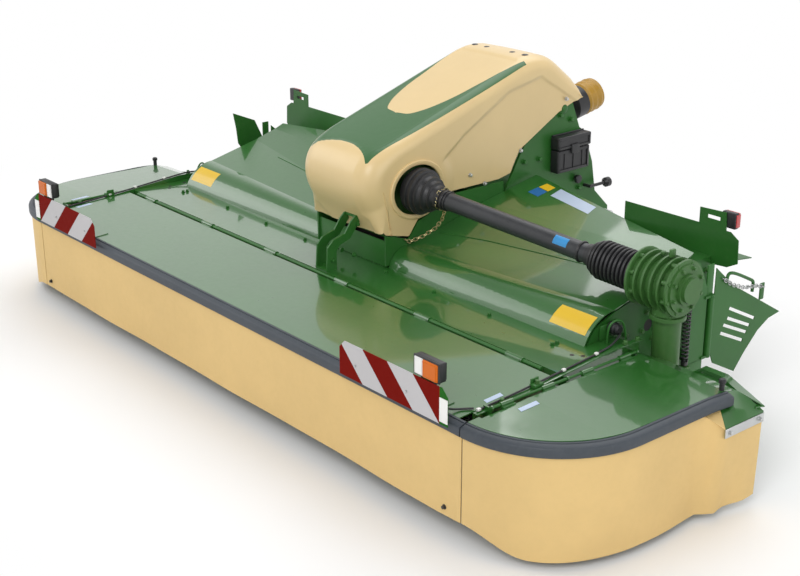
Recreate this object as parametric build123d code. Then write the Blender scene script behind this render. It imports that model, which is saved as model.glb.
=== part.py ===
"""Front-mounted disc mower with roller conditioner, 3.6 m class, in millimetres.

X runs along the cutterbar, Y from the front guard back to the tractor, Z up from the ground.
Every piece is drawn with Y measured back from the front edge, and is moved to the
origin, under the middle of the machine, when it is written.
"""
from build123d import *
import os
from math import atan2, cos, degrees, hypot, pi, radians, sin, tan

# Fits
RUN = 0.05          # radial running clearance of a pin or shaft
SEAT = 0.3          # gap left between curved neighbours
GAP = 6.0           # gap between a moving guard and what stands beside it

# Sheet and tube walls
SHEET = 4.0
PLATE = 10.0

# Rotors
ROTOR_COUNT = 8
ROTOR_PITCH = 450.0
ROTOR_REACH = (ROTOR_COUNT - 1) * ROTOR_PITCH / 2
DISC_LONG_R = 190.0
DISC_SHORT_R = 130.0
DISC_THICKNESS = 10.0
DOME_R = DISC_SHORT_R - 18.0
DOME_HEIGHT = 34.0
KNIFE_TIP_R = DISC_LONG_R + 75.0
KNIFE_WIDTH = 46.0
KNIFE_THICKNESS = 4.0
DRUM_LOW_R = DISC_SHORT_R - 8.0
DRUM_TOP_R = DRUM_LOW_R - 22.0
DRUM_HEIGHT = 250.0

# Places across the machine, from its middle outwards
END_X = ROTOR_REACH - 155.0                # inner face of the frame's end plates
HOOD_OUTER_X = END_X + PLATE + SHEET
ARM_INNER_X = END_X + PLATE + 118.0
ARM_WIDTH = 24.0
DECK_HALF = ARM_INNER_X - 2.0
PANEL_HALF = ARM_INNER_X - GAP             # half width of the front guard's sheet
SIDE_ROD_R = 5.5
SIDE_BARREL_R = 9.0
SIDE_HINGE_X = ARM_INNER_X + ARM_WIDTH + SIDE_BARREL_R + 5.0
GUARD_HALF = SIDE_HINGE_X - 5.0            # half width of the front guard's bumper
SIDE_OUTER_X = SIDE_HINGE_X + 449.0
CORNER_X = SIDE_OUTER_X + 50.0

# Bumper and skirts
BUMPER_FRONT_Y = 25.0
BUMPER_DEPTH = 36.0
BUMPER_LOW_Z = 437.0
BUMPER_HEIGHT = 50.0
BUMPER_ROUND = 14.0
FLANGE_Y = BUMPER_FRONT_Y + BUMPER_DEPTH
FLANGE_HEIGHT = 45.0
SKIRT_INSET = 12.0
SKIRT_THICKNESS = 4.0
FRONT_SKIRT_LOW_Z = 95.0
SIDE_SKIRT_LOW_Z = 30.0

# Front guard
PANEL_FRONT_Z = BUMPER_LOW_Z + BUMPER_HEIGHT
RIB_Y = 541.0                              # hinge line of the front guard
RIB_Z = PANEL_FRONT_Z + 24.0
HINGE_ROD_R = 8.0
BARREL_R = 13.0
BARREL_LENGTH = 70.0
BARREL_COUNT = 6
LUG_THICKNESS = 8.0
PANEL_BACK_Y = RIB_Y - BARREL_R - GAP

# Side guards
SIDE_HINGE_Z = RIB_Z - 6.0
SIDE_HINGE_START_Y = 175.0
SIDE_HINGE_END_Y = 945.0
SIDE_CORNER_R = SIDE_OUTER_X - GUARD_HALF - 2 * GAP
SIDE_BUMPER_END_Y = 1035.0
SIDE_BARREL_LENGTH = 60.0
SKIRT_END_Y = SIDE_BUMPER_END_Y + 53.0
SKIRT_CUT_Y = SKIRT_END_Y - 15.0
CORNER_Y = SIDE_BUMPER_END_Y + 52.0
CHANNEL_INNER_X = CORNER_X - 260.0
CHANNEL_INNER_Y = CORNER_Y + 127.0
CHANNEL_TOP_Z = 412.0
CHANNEL_HEIGHT = 44.0
CHANNEL_WIDTH = 36.0
RIM_X = SIDE_HINGE_X + 132.0               # upright rim at the inner end of the channel
RIM_START_Y = CORNER_Y + 38.0
RIM_LOW_Z = 378.0
# heights of the side guard's top: (distance back, height at the hinge, height at the outer edge)
SIDE_HEIGHTS = [
    (BUMPER_FRONT_Y + 5.0, PANEL_FRONT_Z, PANEL_FRONT_Z),
    (350.0, PANEL_FRONT_Z + 13.0, PANEL_FRONT_Z),
    (950.0, PANEL_FRONT_Z + 13.0, PANEL_FRONT_Z - 7.0),
    (SIDE_BUMPER_END_Y, 470.0, 455.0),
    (1110.0, 405.0, 392.0),
    (CHANNEL_INNER_Y + 10.0, 394.0, 388.0),
]
# inner edge of the side guard's sheet behind its hinge, round the drive column: (across, back)
SIDE_INNER_EDGE = [
    (RIM_X, RIM_START_Y), (RIM_X, CORNER_Y + 20.0), (RIM_X - 62.0, CORNER_Y - 73.0),
    (SIDE_HINGE_X + 6.0, SIDE_HINGE_END_Y + 13.0),
]

# Rails between front guard and side guard: (distance back, height of the top)
RAIL_TOP = [(120.0, 490.0), (380.0, 503.0), (840.0, 540.0), (1000.0, 536.0)]
RAIL_LOW_Z = 430.0

# Warning boards and front lamps
BOARD_OUTER_X = GUARD_HALF - 32.0
BOARD_LENGTH = 606.0
BOARD_HEIGHT = 141.0
BOARD_LOW_Z = PANEL_FRONT_Z - 16.0
BOARD_CUT = 31.0                           # chamfer of the boards' upper corners
BOARD_THICKNESS = 3.0
BOARD_BRACKET_WIDTH = 40.0
BOARD_BRACKET_BACK_Y = 125.0
LAMP_WIDTH = 88.0
LAMP_HEIGHT = 70.0
LAMP_DEPTH = 46.0
LAMP_OUTER_X = BOARD_OUTER_X - 6.0

# Cutterbar and skids
ROTOR_Y = RIB_Y + 179.0
BAR_LOW_Z = 36.0
BAR_HEIGHT = 48.0
BAR_SCALLOP_R = 112.0
BAR_BACK_Y = ROTOR_Y + 160.0
BAR_FOOT = 60.0
HUB_R = 58.0
HUB_HEIGHT = 20.0
SKID_WIDTH = 330.0
SKID_THICKNESS = 6.0
SKID_FRONT_Y = ROTOR_Y - 105.0
SKID_BACK_Y = ROTOR_Y + 265.0

# Conditioner rollers
ROLLER_HALF = END_X - 48.0
ROLLER_TIP_R = 124.0
RIB_DEPTH = 20.0
ROLLER_CORE_R = ROLLER_TIP_R - RIB_DEPTH
ROLLER_RIBS = 10
RIB_THICKNESS = 16.0
ROLLER_SPACING = 2 * ROLLER_TIP_R + 5.0
ROLLER_LEAN = radians(70.0)                # of the line between the rollers' axes
LOWER_ROLLER_Y = ROTOR_Y + KNIFE_TIP_R + ROLLER_TIP_R + 1.0
LOWER_ROLLER_Z = BAR_LOW_Z + BAR_HEIGHT + ROLLER_TIP_R + 54.0
UPPER_ROLLER_Y = LOWER_ROLLER_Y + ROLLER_SPACING * cos(ROLLER_LEAN)
UPPER_ROLLER_Z = LOWER_ROLLER_Z + ROLLER_SPACING * sin(ROLLER_LEAN)
JOURNAL_R = 25.0

# Deck strip, hood and main beam
DECK_START_Y = RIB_Y + BARREL_R + 8.0
HOOD_FRONT_Y = RIB_Y + 274.0
DECK_END_Y = HOOD_FRONT_Y + 20.0
DECK_EAR_END_Y = DECK_END_Y + 150.0
HOOD_SEAM = 2.0                            # gap between a hood half and the carrier
BEAM_START_Y = round(UPPER_ROLLER_Y) + 265.0
BEAM_DEPTH = 130.0
BEAM_BACK_Y = BEAM_START_Y + BEAM_DEPTH
BEAM_LOW_Z = RIB_Z + 109.0
BEAM_HEIGHT = 88.0
BEAM_TOP_Z = BEAM_LOW_Z + BEAM_HEIGHT
BEAM_WALL = 8.0
DEFLECTOR_DEPTH = 300.0
DEFLECTOR_DROP = 40.0
# hood profiles, (distance back, height): front edge, middle of the front bend, end of the bend,
# seam, fold and rear edge; the first at the carrier, the second at the end plate
HOOD_INNER = [
    (HOOD_FRONT_Y, RIB_Z), (840.0, 560.0), (930.0, 595.0), (1090.0, 626.0), (1400.0, 706.0),
    (BEAM_BACK_Y + 148.0, 770.0),
]
HOOD_OUTER = [
    (HOOD_FRONT_Y, RIB_Z), (862.0, 578.0), (980.0, 622.0), (1270.0, 690.0), (1400.0, 728.0),
    (BEAM_START_Y - 7.0, 750.0),
]

# Input shaft, parked on its slope to the tractor
SHAFT_LOW_Y = BEAM_START_Y - 162.0
SHAFT_LOW_Z = 800.0
SHAFT_END_Y = SHAFT_LOW_Y + 1100.0
SHAFT_END_Z = SHAFT_LOW_Z + 228.0
SHAFT_TUBE_R = 24.0
SHAFT_GUARD_R = 45.0
SHAFT_GUARD_WALL = 5.0
SHAFT_GUARD_NECK = 30.0
SHAFT_BELL_R = 84.0
SHAFT_RIM_R = 80.0
SHAFT_BELL_LENGTH = 110.0
SHAFT_COLLAR_R = 82.0
SHAFT_COLLAR_WALL = 8.0
SHAFT_COLLAR_LENGTH = 95.0
SPLINE_BORE_R = 17.45
SPLINE_BORE_DEPTH = 76.0
YOKE_R = 34.0
YOKE_LENGTH = 120.0
SHAFT_SLOPE = atan2(SHAFT_END_Z - SHAFT_LOW_Z, SHAFT_END_Y - SHAFT_LOW_Y)

# where the front edge lies from the origin
FRONT = -(SHAFT_END_Y + SHAFT_RIM_R * sin(SHAFT_SLOPE)) / 2

# Side gearbox, its column and the lower drive housing
COLUMN_X = END_X + 182.0
COLUMN_R = 55.0
COLUMN_NECK = 8.0
COLUMN_LOW_Z = 360.0
COLUMN_TOP_Z = 630.0
GEARBOX_Y = LOWER_ROLLER_Y - 10.0
GEARBOX_Z = RIB_Z + 239.0
GEARBOX_START_X = COLUMN_X - 132.0
GEARBOX_END_X = COLUMN_X + 70.0
GEARBOX_R = 114.0
GEARBOX_CORE_R = 94.0
GEARBOX_FINS = 6
FIN_THICKNESS = 9.0
# steps of the gearbox's outer cover: (radius, how far it stands out)
COVER_STEPS = [(98.0, 12.0), (62.0, 26.0), (50.0, 40.0)]
LOWER_BOX_LENGTH = 190.0
LOWER_BOX_DEPTH = 180.0
LOWER_BOX_LOW_Z = 40.0
LOWER_BOX_ROUND = 30.0
ROLLER_DRIVE_R = 60.0
SPRING_X = COLUMN_X - 12.0
SPRING_Y = GEARBOX_Y + 140.0
SPRING_R = 17.0
SPRING_EYE_R = 7.0
SPRING_TOP_Z = 655.0
SPRING_BRACKET = 8.0

# Cross drive from the centre gearbox to the side gearbox
CROSS_START = (150.0, 975.0, 850.0)
CROSS_END = (GEARBOX_START_X, GEARBOX_Y, GEARBOX_Z)
BELL_END_X = 400.0
# bell of the cross drive's guard: (share of its length, radius)
BELL_PROFILE = [
    (-0.05, 92.0), (0.38, 104.0), (0.50, 104.0), (0.50, 95.0), (0.60, 95.0), (0.60, 84.0), (0.70, 78.0),
    (0.82, 60.0), (0.93, 50.0), (1.0, 46.0),
]
GUARD_TUBE_R = 40.0
GUARD_TUBE_WALL = 4.0
BELLOWS_START_X = GEARBOX_START_X - 242.0
BELLOWS_R = 80.0
BELLOWS_DEPTH = 12.0
BELLOWS_FOLDS = 5

# Cowl, side view (distance back, height)
COWL_HALF = 250.0
COWL_WALL = 4.0
COWL_NOSE_LOW = (750.0, 735.0)
COWL_CHIN = (702.0, 822.0)
COWL_NOSE = (688.0, 910.0)
COWL_FOREHEAD = (724.0, 1002.0)
COWL_BROW = (800.0, 1044.0)
COWL_CREST = (1660.0, 1330.0)
COWL_TOP = (1770.0, 1336.0)
COWL_REAR_EDGE = (1862.0, 1308.0)
COWL_REAR = (2025.0, 1180.0)
COWL_REAR_LOW = (2050.0, 1105.0)
# lower edge of the cowl's side from the rear to the nose: (distance back, height)
COWL_LOW = [
    COWL_REAR_LOW, (1892.0, 1049.0), (1633.0, 907.0), (1598.0, 846.0), (1579.0, 806.0), (1500.0, 790.0),
    (1184.0, 790.0), (1080.0, 738.0), (990.0, 702.0), (936.0, 632.0), (776.0, 673.0), COWL_NOSE_LOW,
]
COWL_NOSE_ROUND = 95.0
COWL_EDGE_ROUND = 45.0
COWL_STEP = 9.0
COWL_OPEN_DEPTH = 100.0
# crease of the cowl's side, above the part that is set in: (distance back, height)
COWL_CREASE = [(1148.0, 960.0), (1271.0, 1053.0), (1551.0, 1210.0), (1760.0, 1252.0), (1990.0, 1110.0)]
COWL_SLOT_TOP_Z = 1160.0
RING_Y = 985.0
RING_Z = 842.0
RING_OPENING = (138.0, 114.0)              # half width and half height
RING_WIDTH = 20.0
RING_HEIGHT = 8.0

# Centre gearbox, its carrier and the strut under the cowl's nose
CARRIER_HALF = COWL_HALF + 2.0
CARRIER_FRONT_Y = 800.0
CARRIER_BACK_Y = BEAM_START_Y + 60.0
CARRIER_LOW_Z = RIB_Z + 9.0
PLATFORM_START_Y = 830.0
PLATFORM_TOP_Z = BEAM_LOW_Z + 30.0
CARRIER_ARCH = [(1130.0, 632.0), (1010.0, 590.0)]   # over the upper roller: (distance back, height)
CENTRE_BOX_HALF = CROSS_START[0]
CENTRE_BOX_FRONT_Y = 880.0
CENTRE_BOX_TOP_Z = 945.0
CENTRE_BOX_ROUND = 30.0
STRUT_PLACES = [(38.0, 46.0), (114.0, 122.0)]
STRUT_TOP_Z = COWL_NOSE_LOW[1] + COWL_WALL
# outline of the strut's cheeks: (distance back, height)
STRUT_SIDE = [
    (568.0, RIB_Z), (576.0, 621.0), (606.0, 651.0), (672.0, 668.0), (706.0, 716.0), (732.0, STRUT_TOP_Z),
    (768.0, STRUT_TOP_Z), (760.0, 712.0), (700.0, 640.0), (644.0, 622.0), (624.0, 600.0), (624.0, RIB_Z),
]

# Headstock
HEAD_X = COWL_HALF - 28.0
HEAD_THICKNESS = 12.0
HEAD_OUTER_X = HEAD_X + HEAD_THICKNESS
LINK_Y = BEAM_BACK_Y + 538.0
LOWER_LINK_Z = BEAM_LOW_Z - 108.0
# side plate outline: (distance back, height)
HEAD_SIDE = [
    (1545.0, BEAM_TOP_Z), (1655.0, 895.0), (1720.0, 975.0), (1900.0, 1110.0), (1992.0, 1092.0),
    (2052.0, 950.0), (2090.0, 925.0), (2157.0, 757.0), (2187.0, 600.0), (2290.0, 500.0), (2290.0, 462.0),
    (2080.0, 462.0),
    (BEAM_BACK_Y, 650.0), (BEAM_BACK_Y, BEAM_TOP_Z),
]
MAST_HEIGHT = 610.0
LINK_SPREAD = 825.0
LINK_BALL_WIDTH = 45.0
LOWER_PIN_R = 14.0
LOWER_PIN_END_X = 460.0
LINK_COLLAR_R = 30.0
TOP_EAR_GAP = 52.0
TOP_EAR_THICKNESS = 14.0
TOP_EAR_R = 28.0
TOP_HOLE_R = 12.85
TOP_LINK_Y = 2085.0
COWL_BOSS_R = 14.0
COWL_BOSS_Y = 1935.0
COWL_BOSS_Z = 1085.0
HEAD_TUBE_R = 30.0
HEAD_TUBE_Y = 1905.0
HEAD_TUBE_Z = 1062.0
LOW_TUBE_Y = 2060.0
LOW_TUBE_Z = 530.0

# Document box and lever on the headstock
BOX_Y = 1850.0
BOX_Z = 755.0
BOX_LENGTH = 230.0
BOX_HEIGHT = 180.0
BOX_DEPTH = 60.0
BOX_ROUND = 14.0
LEVER_R = 8.0
LEVER_Y = 2105.0
LEVER_Z = 645.0
LEVER_REACH = 40.0
LEVER_LENGTH = 125.0
KNOB_R = 24.0

# Parking stands
STAND_X = 750.0
STAND_PIVOT_Y = BEAM_BACK_Y + 68.0
STAND_PIVOT_Z = BEAM_LOW_Z - 55.0
STAND_FOOT_Y = STAND_PIVOT_Y - 25.0
STAND_TUBE = 50.0
STAND_PIN_R = 10.0
EAR_R = 22.0
FOOT_WIDTH = 120.0
FOOT_DEPTH = 80.0
FOOT_THICKNESS = 8.0

# outline of each ear for a stand's pin: (distance back, height)
STAND_EAR = [
    (BEAM_BACK_Y - 40.0, BEAM_LOW_Z), (BEAM_BACK_Y - 40.0, STAND_PIVOT_Z + 20.0),
    (STAND_PIVOT_Y - 20.0, STAND_PIVOT_Z - 20.0), (STAND_PIVOT_Y + EAR_R, STAND_PIVOT_Z),
    (STAND_PIVOT_Y + 10.0, STAND_PIVOT_Z + EAR_R), (BEAM_BACK_Y, BEAM_LOW_Z + 20.0),
]

# Swath boards, each on a post behind the drive column
SWATH_X = END_X + PLATE + 122.0
POST_THICKNESS = 6.0
# outline of the post: (distance back, height)
POST_SIDE = [
    (1206.0, 824.0), (1345.0, 764.0), (1404.0, 640.0), (1404.0, 331.0), (1300.0, 331.0), (1292.0, 560.0),
    (1232.0, 650.0), (1222.0, 740.0),
]
POST_TIES_Z = (335.0, 600.0)               # heights of the ties to the end plate
TIE_DEPTH = 80.0
SWATH_ROD_R = 9.0
SWATH_BARREL_R = 15.0
SWATH_HINGE_Y = POST_SIDE[2][0] + SWATH_BARREL_R + 13.0
# outline of the board: (distance back, height)
SWATH_SIDE = [
    (SWATH_HINGE_Y, POST_TIES_Z[0] + PLATE + 1.0), (SWATH_HINGE_Y, POST_TIES_Z[1] - 1.0),
    (SWATH_HINGE_Y + SWATH_BARREL_R + GAP, POST_TIES_Z[1] - 1.0), (1455.0, 717.0), (1575.0, 615.0),
    (1924.0, 409.0), (1846.0, 398.0), (1775.0, 361.0), (1690.0, 282.0), (1629.0, 212.0), (1478.0, 293.0),
    (1459.0, POST_TIES_Z[0] - 1.0), (SWATH_HINGE_Y + SWATH_BARREL_R + GAP, POST_TIES_Z[0] + PLATE + 1.0),
]
# slots in the board: (start back, start height, end back, end height)
SWATH_SLOTS = [
    (1562.0, 516.0, 1744.0, 424.0), (1554.0, 474.0, 1713.0, 400.0), (1531.0, 449.0, 1696.0, 373.0),
    (1515.0, 417.0, 1673.0, 342.0),
]
SLOT_WIDTH = 13.0

# Rear lamp plates
LAMP_PLATE_Y = BEAM_START_Y + 113.0
# outline of the plate: (across, height)
LAMP_PLATE = [
    (955.0, BEAM_TOP_Z), (955.0, 836.0), (1357.0, 838.0), (1357.0, 905.0), (1490.0, 911.0), (1495.0, 834.0),
    (1517.0, 834.0), (1559.0, 807.0), (1564.0, 708.0), (1513.0, 681.0), (END_X + PLATE, 675.0),
    (END_X + PLATE, BEAM_TOP_Z),
]
LAMP_SLOT = (1398.0, 1462.0, 868.0, 884.0)  # across from and to, height from and to
REAR_LAMP_X = 1500.0
REAR_LAMP_Z = 845.0
REAR_LAMP = 70.0
REAR_LAMP_DEPTH = 38.0


def box(x0, x1, y0, y1, z0, z1):
    """A box between two corners."""
    middle = Pos((x0 + x1) / 2, (y0 + y1) / 2, (z0 + z1) / 2)
    return middle * Box(abs(x1 - x0), abs(y1 - y0), abs(z1 - z0))


def slab_x(points, x0, x1):
    """A plate across X whose outline is a list of (y, z) points."""
    outline = make_face(Plane.YZ * Polyline(*points, close=True))
    return Pos(x0, 0, 0) * extrude(outline, x1 - x0, dir=(1, 0, 0))


def slab_z(points, z0, z1):
    """A plate across Z whose outline is a list of (x, y) points."""
    outline = make_face(Polyline(*points, close=True))
    return Pos(0, 0, z0) * extrude(outline, z1 - z0)


def round_x(r, x0, x1, y, z):
    """A round bar along X."""
    return Pos((x0 + x1) / 2, y, z) * Rot(0, 90, 0) * Cylinder(r, abs(x1 - x0))


def round_y(r, y0, y1, x, z):
    """A round bar along Y."""
    return Pos(x, (y0 + y1) / 2, z) * Rot(90, 0, 0) * Cylinder(r, abs(y1 - y0))


def round_z(r, z0, z1, x, y):
    """A round bar along Z."""
    return Pos(x, y, (z0 + z1) / 2) * Cylinder(r, z1 - z0)


def strip_x(start, finish, width, x0, x1):
    """A straight strip between two (y, z) points, across X."""
    y0, z0 = start
    y1, z1 = finish
    length = hypot(y1 - y0, z1 - z0)
    across = (width / 2 * (z0 - z1) / length, width / 2 * (y1 - y0) / length)
    points = [
        (y0 + across[0], z0 + across[1]), (y1 + across[0], z1 + across[1]),
        (y1 - across[0], z1 - across[1]), (y0 - across[0], z0 - across[1]),
    ]
    return slab_x(points, x0, x1)


def spread(count, first, last):
    """Evenly spaced places from first to last."""
    return [first + (last - first) * i / (count - 1) for i in range(count)]


def turned(profile, start, finish):
    """Revolve a profile of (distance along, radius) points about the line from start to finish."""
    axis = Vector(*finish) - Vector(*start)
    outline = make_face(Plane.XZ * Polyline(*[(r, along) for along, r in profile], close=True))
    solid = revolve(outline, Axis.Z)
    return Plane(origin=start, z_dir=axis) * solid


def line_point(start, finish, share):
    """The point a share of the way from start to finish."""
    return tuple(a + (b - a) * share for a, b in zip(start, finish))


def other_side(piece):
    """The same piece on the other side of the machine."""
    return mirror(piece, about=Plane.YZ)


# Guards

def guard_hinge_places():
    """Middle of each barrel of the front guard's hinge."""
    reach = PANEL_HALF - 3 * BARREL_LENGTH
    return spread(BARREL_COUNT, -reach, reach)


def panel_height(y):
    """Height of the front panel's top a distance back."""
    slope = (RIB_Z - PANEL_FRONT_Z) / (PANEL_BACK_Y - FLANGE_Y)
    return PANEL_FRONT_Z + slope * (y - FLANGE_Y)


def board_brackets():
    """Brackets on the front panel that hold the boards and the front lamps."""
    half = BOARD_BRACKET_WIDTH / 2
    back_z = panel_height(BOARD_BRACKET_BACK_Y)
    y0 = BOARD_THICKNESS
    profile = [
        (y0, PANEL_FRONT_Z), (FLANGE_Y, PANEL_FRONT_Z), (BOARD_BRACKET_BACK_Y, back_z),
        (BOARD_BRACKET_BACK_Y, back_z + SHEET), (FLANGE_Y, PANEL_FRONT_Z + SHEET),
        (y0 + SHEET, PANEL_FRONT_Z + SHEET), (y0 + SHEET, BOARD_LOW_Z + BOARD_HEIGHT),
        (y0, BOARD_LOW_Z + BOARD_HEIGHT),
    ]
    brackets = []
    for side in (-1, 1):
        for share in (0.2, 0.8):
            x = side * (BOARD_OUTER_X - share * BOARD_LENGTH)
            brackets.append(slab_x(profile, x - half, x + half))
    return brackets


def front_panel():
    """Sheet panel of the front guard with its folded front flange, hinge barrels and board brackets."""
    low = PANEL_FRONT_Z - FLANGE_HEIGHT
    profile = [
        (FLANGE_Y, low), (FLANGE_Y, PANEL_FRONT_Z), (PANEL_BACK_Y, RIB_Z), (PANEL_BACK_Y, RIB_Z - SHEET),
        (FLANGE_Y + SHEET, PANEL_FRONT_Z - SHEET), (FLANGE_Y + SHEET, low),
    ]
    panel = slab_x(profile, -PANEL_HALF, PANEL_HALF)
    for x in guard_hinge_places():
        x0 = x - BARREL_LENGTH / 2
        x1 = x + BARREL_LENGTH / 2
        panel += box(x0, x1, PANEL_BACK_Y - SHEET, RIB_Y, RIB_Z - SHEET, RIB_Z)
        panel += round_x(BARREL_R, x0, x1, RIB_Y, RIB_Z)
    panel -= round_x(HINGE_ROD_R + RUN, -PANEL_HALF, PANEL_HALF, RIB_Y, RIB_Z)
    for bracket in board_brackets():
        panel += bracket
    return panel


def bumper_profile(depth, height):
    """Bumper section: flat back, rounded front, in its own plane with the back on the Y axis."""
    section = Pos(-depth / 2, height / 2) * Rectangle(depth, height)
    front = section.vertices().group_by(Axis.X)[0]
    return fillet(front, BUMPER_ROUND)


def front_bumper():
    """Rubber bumper along the front guard."""
    section = Plane(origin=(0, FLANGE_Y, BUMPER_LOW_Z), x_dir=(0, 1, 0), z_dir=(1, 0, 0))
    return extrude(section * bumper_profile(BUMPER_DEPTH, BUMPER_HEIGHT), GUARD_HALF, both=True)


def front_skirt():
    """Skirt under the front bumper."""
    face_y = BUMPER_FRONT_Y + SKIRT_INSET
    return box(-GUARD_HALF, GUARD_HALF, face_y, face_y + SKIRT_THICKNESS, FRONT_SKIRT_LOW_Z, BUMPER_LOW_Z)


def side_path(inset):
    """Plan line of the side guard's edge, a distance inside the bumper's face."""
    start_x = GUARD_HALF + GAP
    front_y = BUMPER_FRONT_Y + inset
    outer_x = SIDE_OUTER_X - inset
    radius = SIDE_CORNER_R - inset
    turn_x = outer_x - radius
    turn_y = front_y + radius
    run_in = Line((start_x, front_y), (turn_x, front_y))
    middle = (turn_x + radius * sin(pi / 4), turn_y - radius * cos(pi / 4))
    corner = ThreePointArc((turn_x, front_y), middle, (outer_x, turn_y))
    run_out = Line((outer_x, turn_y), (outer_x, SIDE_BUMPER_END_Y))
    return [run_in, corner, run_out]


def side_band(inset, thickness, z0, z1):
    """A band of even thickness that follows the side guard's edge."""
    outer = side_path(inset)
    inner = side_path(inset + thickness)
    ends = [Line(outer[0] @ 0, inner[0] @ 0), Line(outer[2] @ 1, inner[2] @ 1)]
    face = make_face(Curve() + outer + inner + ends)
    return Pos(0, 0, z0) * extrude(face, z1 - z0)


def side_surface(thickness):
    """The side guard's top, so thick, before it is trimmed to its outline."""
    sections = []
    for y, inner_z, outer_z in SIDE_HEIGHTS:
        inner_x = GUARD_HALF + GAP
        points = [
            (inner_x, y, inner_z), (CORNER_X + GAP, y, outer_z),
            (CORNER_X + GAP, y, outer_z - thickness), (inner_x, y, inner_z - thickness),
        ]
        sections.append(make_face(Polyline(*points, close=True)))
    sheet = None
    for first, second in zip(sections, sections[1:]):
        part = loft([first, second], ruled=True)
        sheet = part if sheet is None else sheet + part
    return sheet


def side_outline():
    """Plan of the side guard inside its bumper, as a tall prism."""
    edge = side_path(BUMPER_DEPTH)
    start = edge[0] @ 0
    end = edge[2] @ 1
    rest = Polyline(end, (CORNER_X, CORNER_Y), (CHANNEL_INNER_X, CHANNEL_INNER_Y), (RIM_X, CHANNEL_INNER_Y),
                    *SIDE_INNER_EDGE, (start.X, SIDE_HINGE_END_Y), start)
    face = make_face(Curve() + edge + [rest])
    return extrude(face, RIB_Z + GAP)


def corner_channel():
    """Channel along the rear edge of the side guard, open at the back."""
    along = Vector(CORNER_X - CHANNEL_INNER_X, CORNER_Y - CHANNEL_INNER_Y)
    turn = degrees(atan2(along.Y, along.X))
    low = CHANNEL_TOP_Z - CHANNEL_HEIGHT
    bar = box(0, along.length, 0, CHANNEL_WIDTH, low, CHANNEL_TOP_Z)
    inside = box(-1, along.length + 1, SHEET, CHANNEL_WIDTH + 1, low + SHEET, CHANNEL_TOP_Z - SHEET)
    frame = Pos(CHANNEL_INNER_X, CHANNEL_INNER_Y, 0) * Rot(0, 0, turn)
    return frame * (Pos(0, -CHANNEL_WIDTH, 0) * (bar - inside))


def channel_end():
    """Level end of the rear channel with the upright rim on the inner side."""
    low = CHANNEL_TOP_Z - CHANNEL_HEIGHT
    y0 = CHANNEL_INNER_Y - CHANNEL_WIDTH
    end = box(RIM_X, CHANNEL_INNER_X + CHANNEL_WIDTH / 2, y0, y0 + SHEET, low, CHANNEL_TOP_Z)
    end += box(RIM_X, CHANNEL_INNER_X, y0, CHANNEL_INNER_Y, CHANNEL_TOP_Z - SHEET, CHANNEL_TOP_Z)
    end += box(RIM_X, RIM_X + SHEET, RIM_START_Y, CHANNEL_INNER_Y, RIM_LOW_Z, CHANNEL_TOP_Z)
    return end


def side_barrel_places():
    """Middle of each barrel on a side guard's hinge rod."""
    inset = 1.2 * SIDE_BARREL_LENGTH
    return spread(4, SIDE_HINGE_START_Y + inset, SIDE_HINGE_END_Y - inset)


def side_panel():
    """Sheet of a side guard with its flange, rear channel and hinge barrels."""
    panel = side_surface(SHEET) & side_outline()
    flange = side_band(BUMPER_DEPTH, SHEET, PANEL_FRONT_Z - FLANGE_HEIGHT, PANEL_FRONT_Z)
    panel += flange & side_surface(2 * FLANGE_HEIGHT)
    panel += corner_channel()
    panel += channel_end()
    edge_x = SIDE_HINGE_X + SIDE_BARREL_R + GAP
    panel -= box(GUARD_HALF, edge_x, RAIL_TOP[0][0] - GAP, SIDE_HINGE_END_Y + 2 * GAP, 0, RIB_Z)
    for y in side_barrel_places():
        y0 = y - SIDE_BARREL_LENGTH / 2
        y1 = y + SIDE_BARREL_LENGTH / 2
        panel += box(SIDE_HINGE_X, edge_x + SHEET, y0, y1, SIDE_HINGE_Z - 3 * SHEET, SIDE_HINGE_Z - SHEET)
        panel += round_y(SIDE_BARREL_R, y0, y1, SIDE_HINGE_X, SIDE_HINGE_Z)
    panel -= round_y(SIDE_ROD_R + RUN, 0, SIDE_HINGE_END_Y, SIDE_HINGE_X, SIDE_HINGE_Z)
    return panel


def side_bumper():
    """Rubber bumper round a side guard."""
    path = Wire(side_path(BUMPER_DEPTH))
    start = path @ 0
    section = Plane(origin=(start.X, start.Y, 0), x_dir=(0, 1, 0), z_dir=(1, 0, 0))
    return Pos(0, 0, BUMPER_LOW_Z) * sweep(section * bumper_profile(BUMPER_DEPTH, BUMPER_HEIGHT), path=path)


def side_skirt():
    """Skirt under a side guard's bumper, out to the rear corner."""
    band = side_band(SKIRT_INSET, SKIRT_THICKNESS, SIDE_SKIRT_LOW_Z, BUMPER_LOW_Z)
    start_y = SIDE_BUMPER_END_Y - 1
    rim_z = CHANNEL_TOP_Z - CHANNEL_HEIGHT
    tail = [
        (start_y, SIDE_SKIRT_LOW_Z), (start_y, BUMPER_LOW_Z), (SIDE_BUMPER_END_Y + GAP, BUMPER_LOW_Z),
        (SKIRT_CUT_Y, rim_z), (SKIRT_END_Y, rim_z), (SKIRT_END_Y, SIDE_SKIRT_LOW_Z),
    ]
    outer_x = SIDE_OUTER_X - SKIRT_INSET
    return band + slab_x(tail, outer_x - SKIRT_THICKNESS, outer_x)


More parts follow.
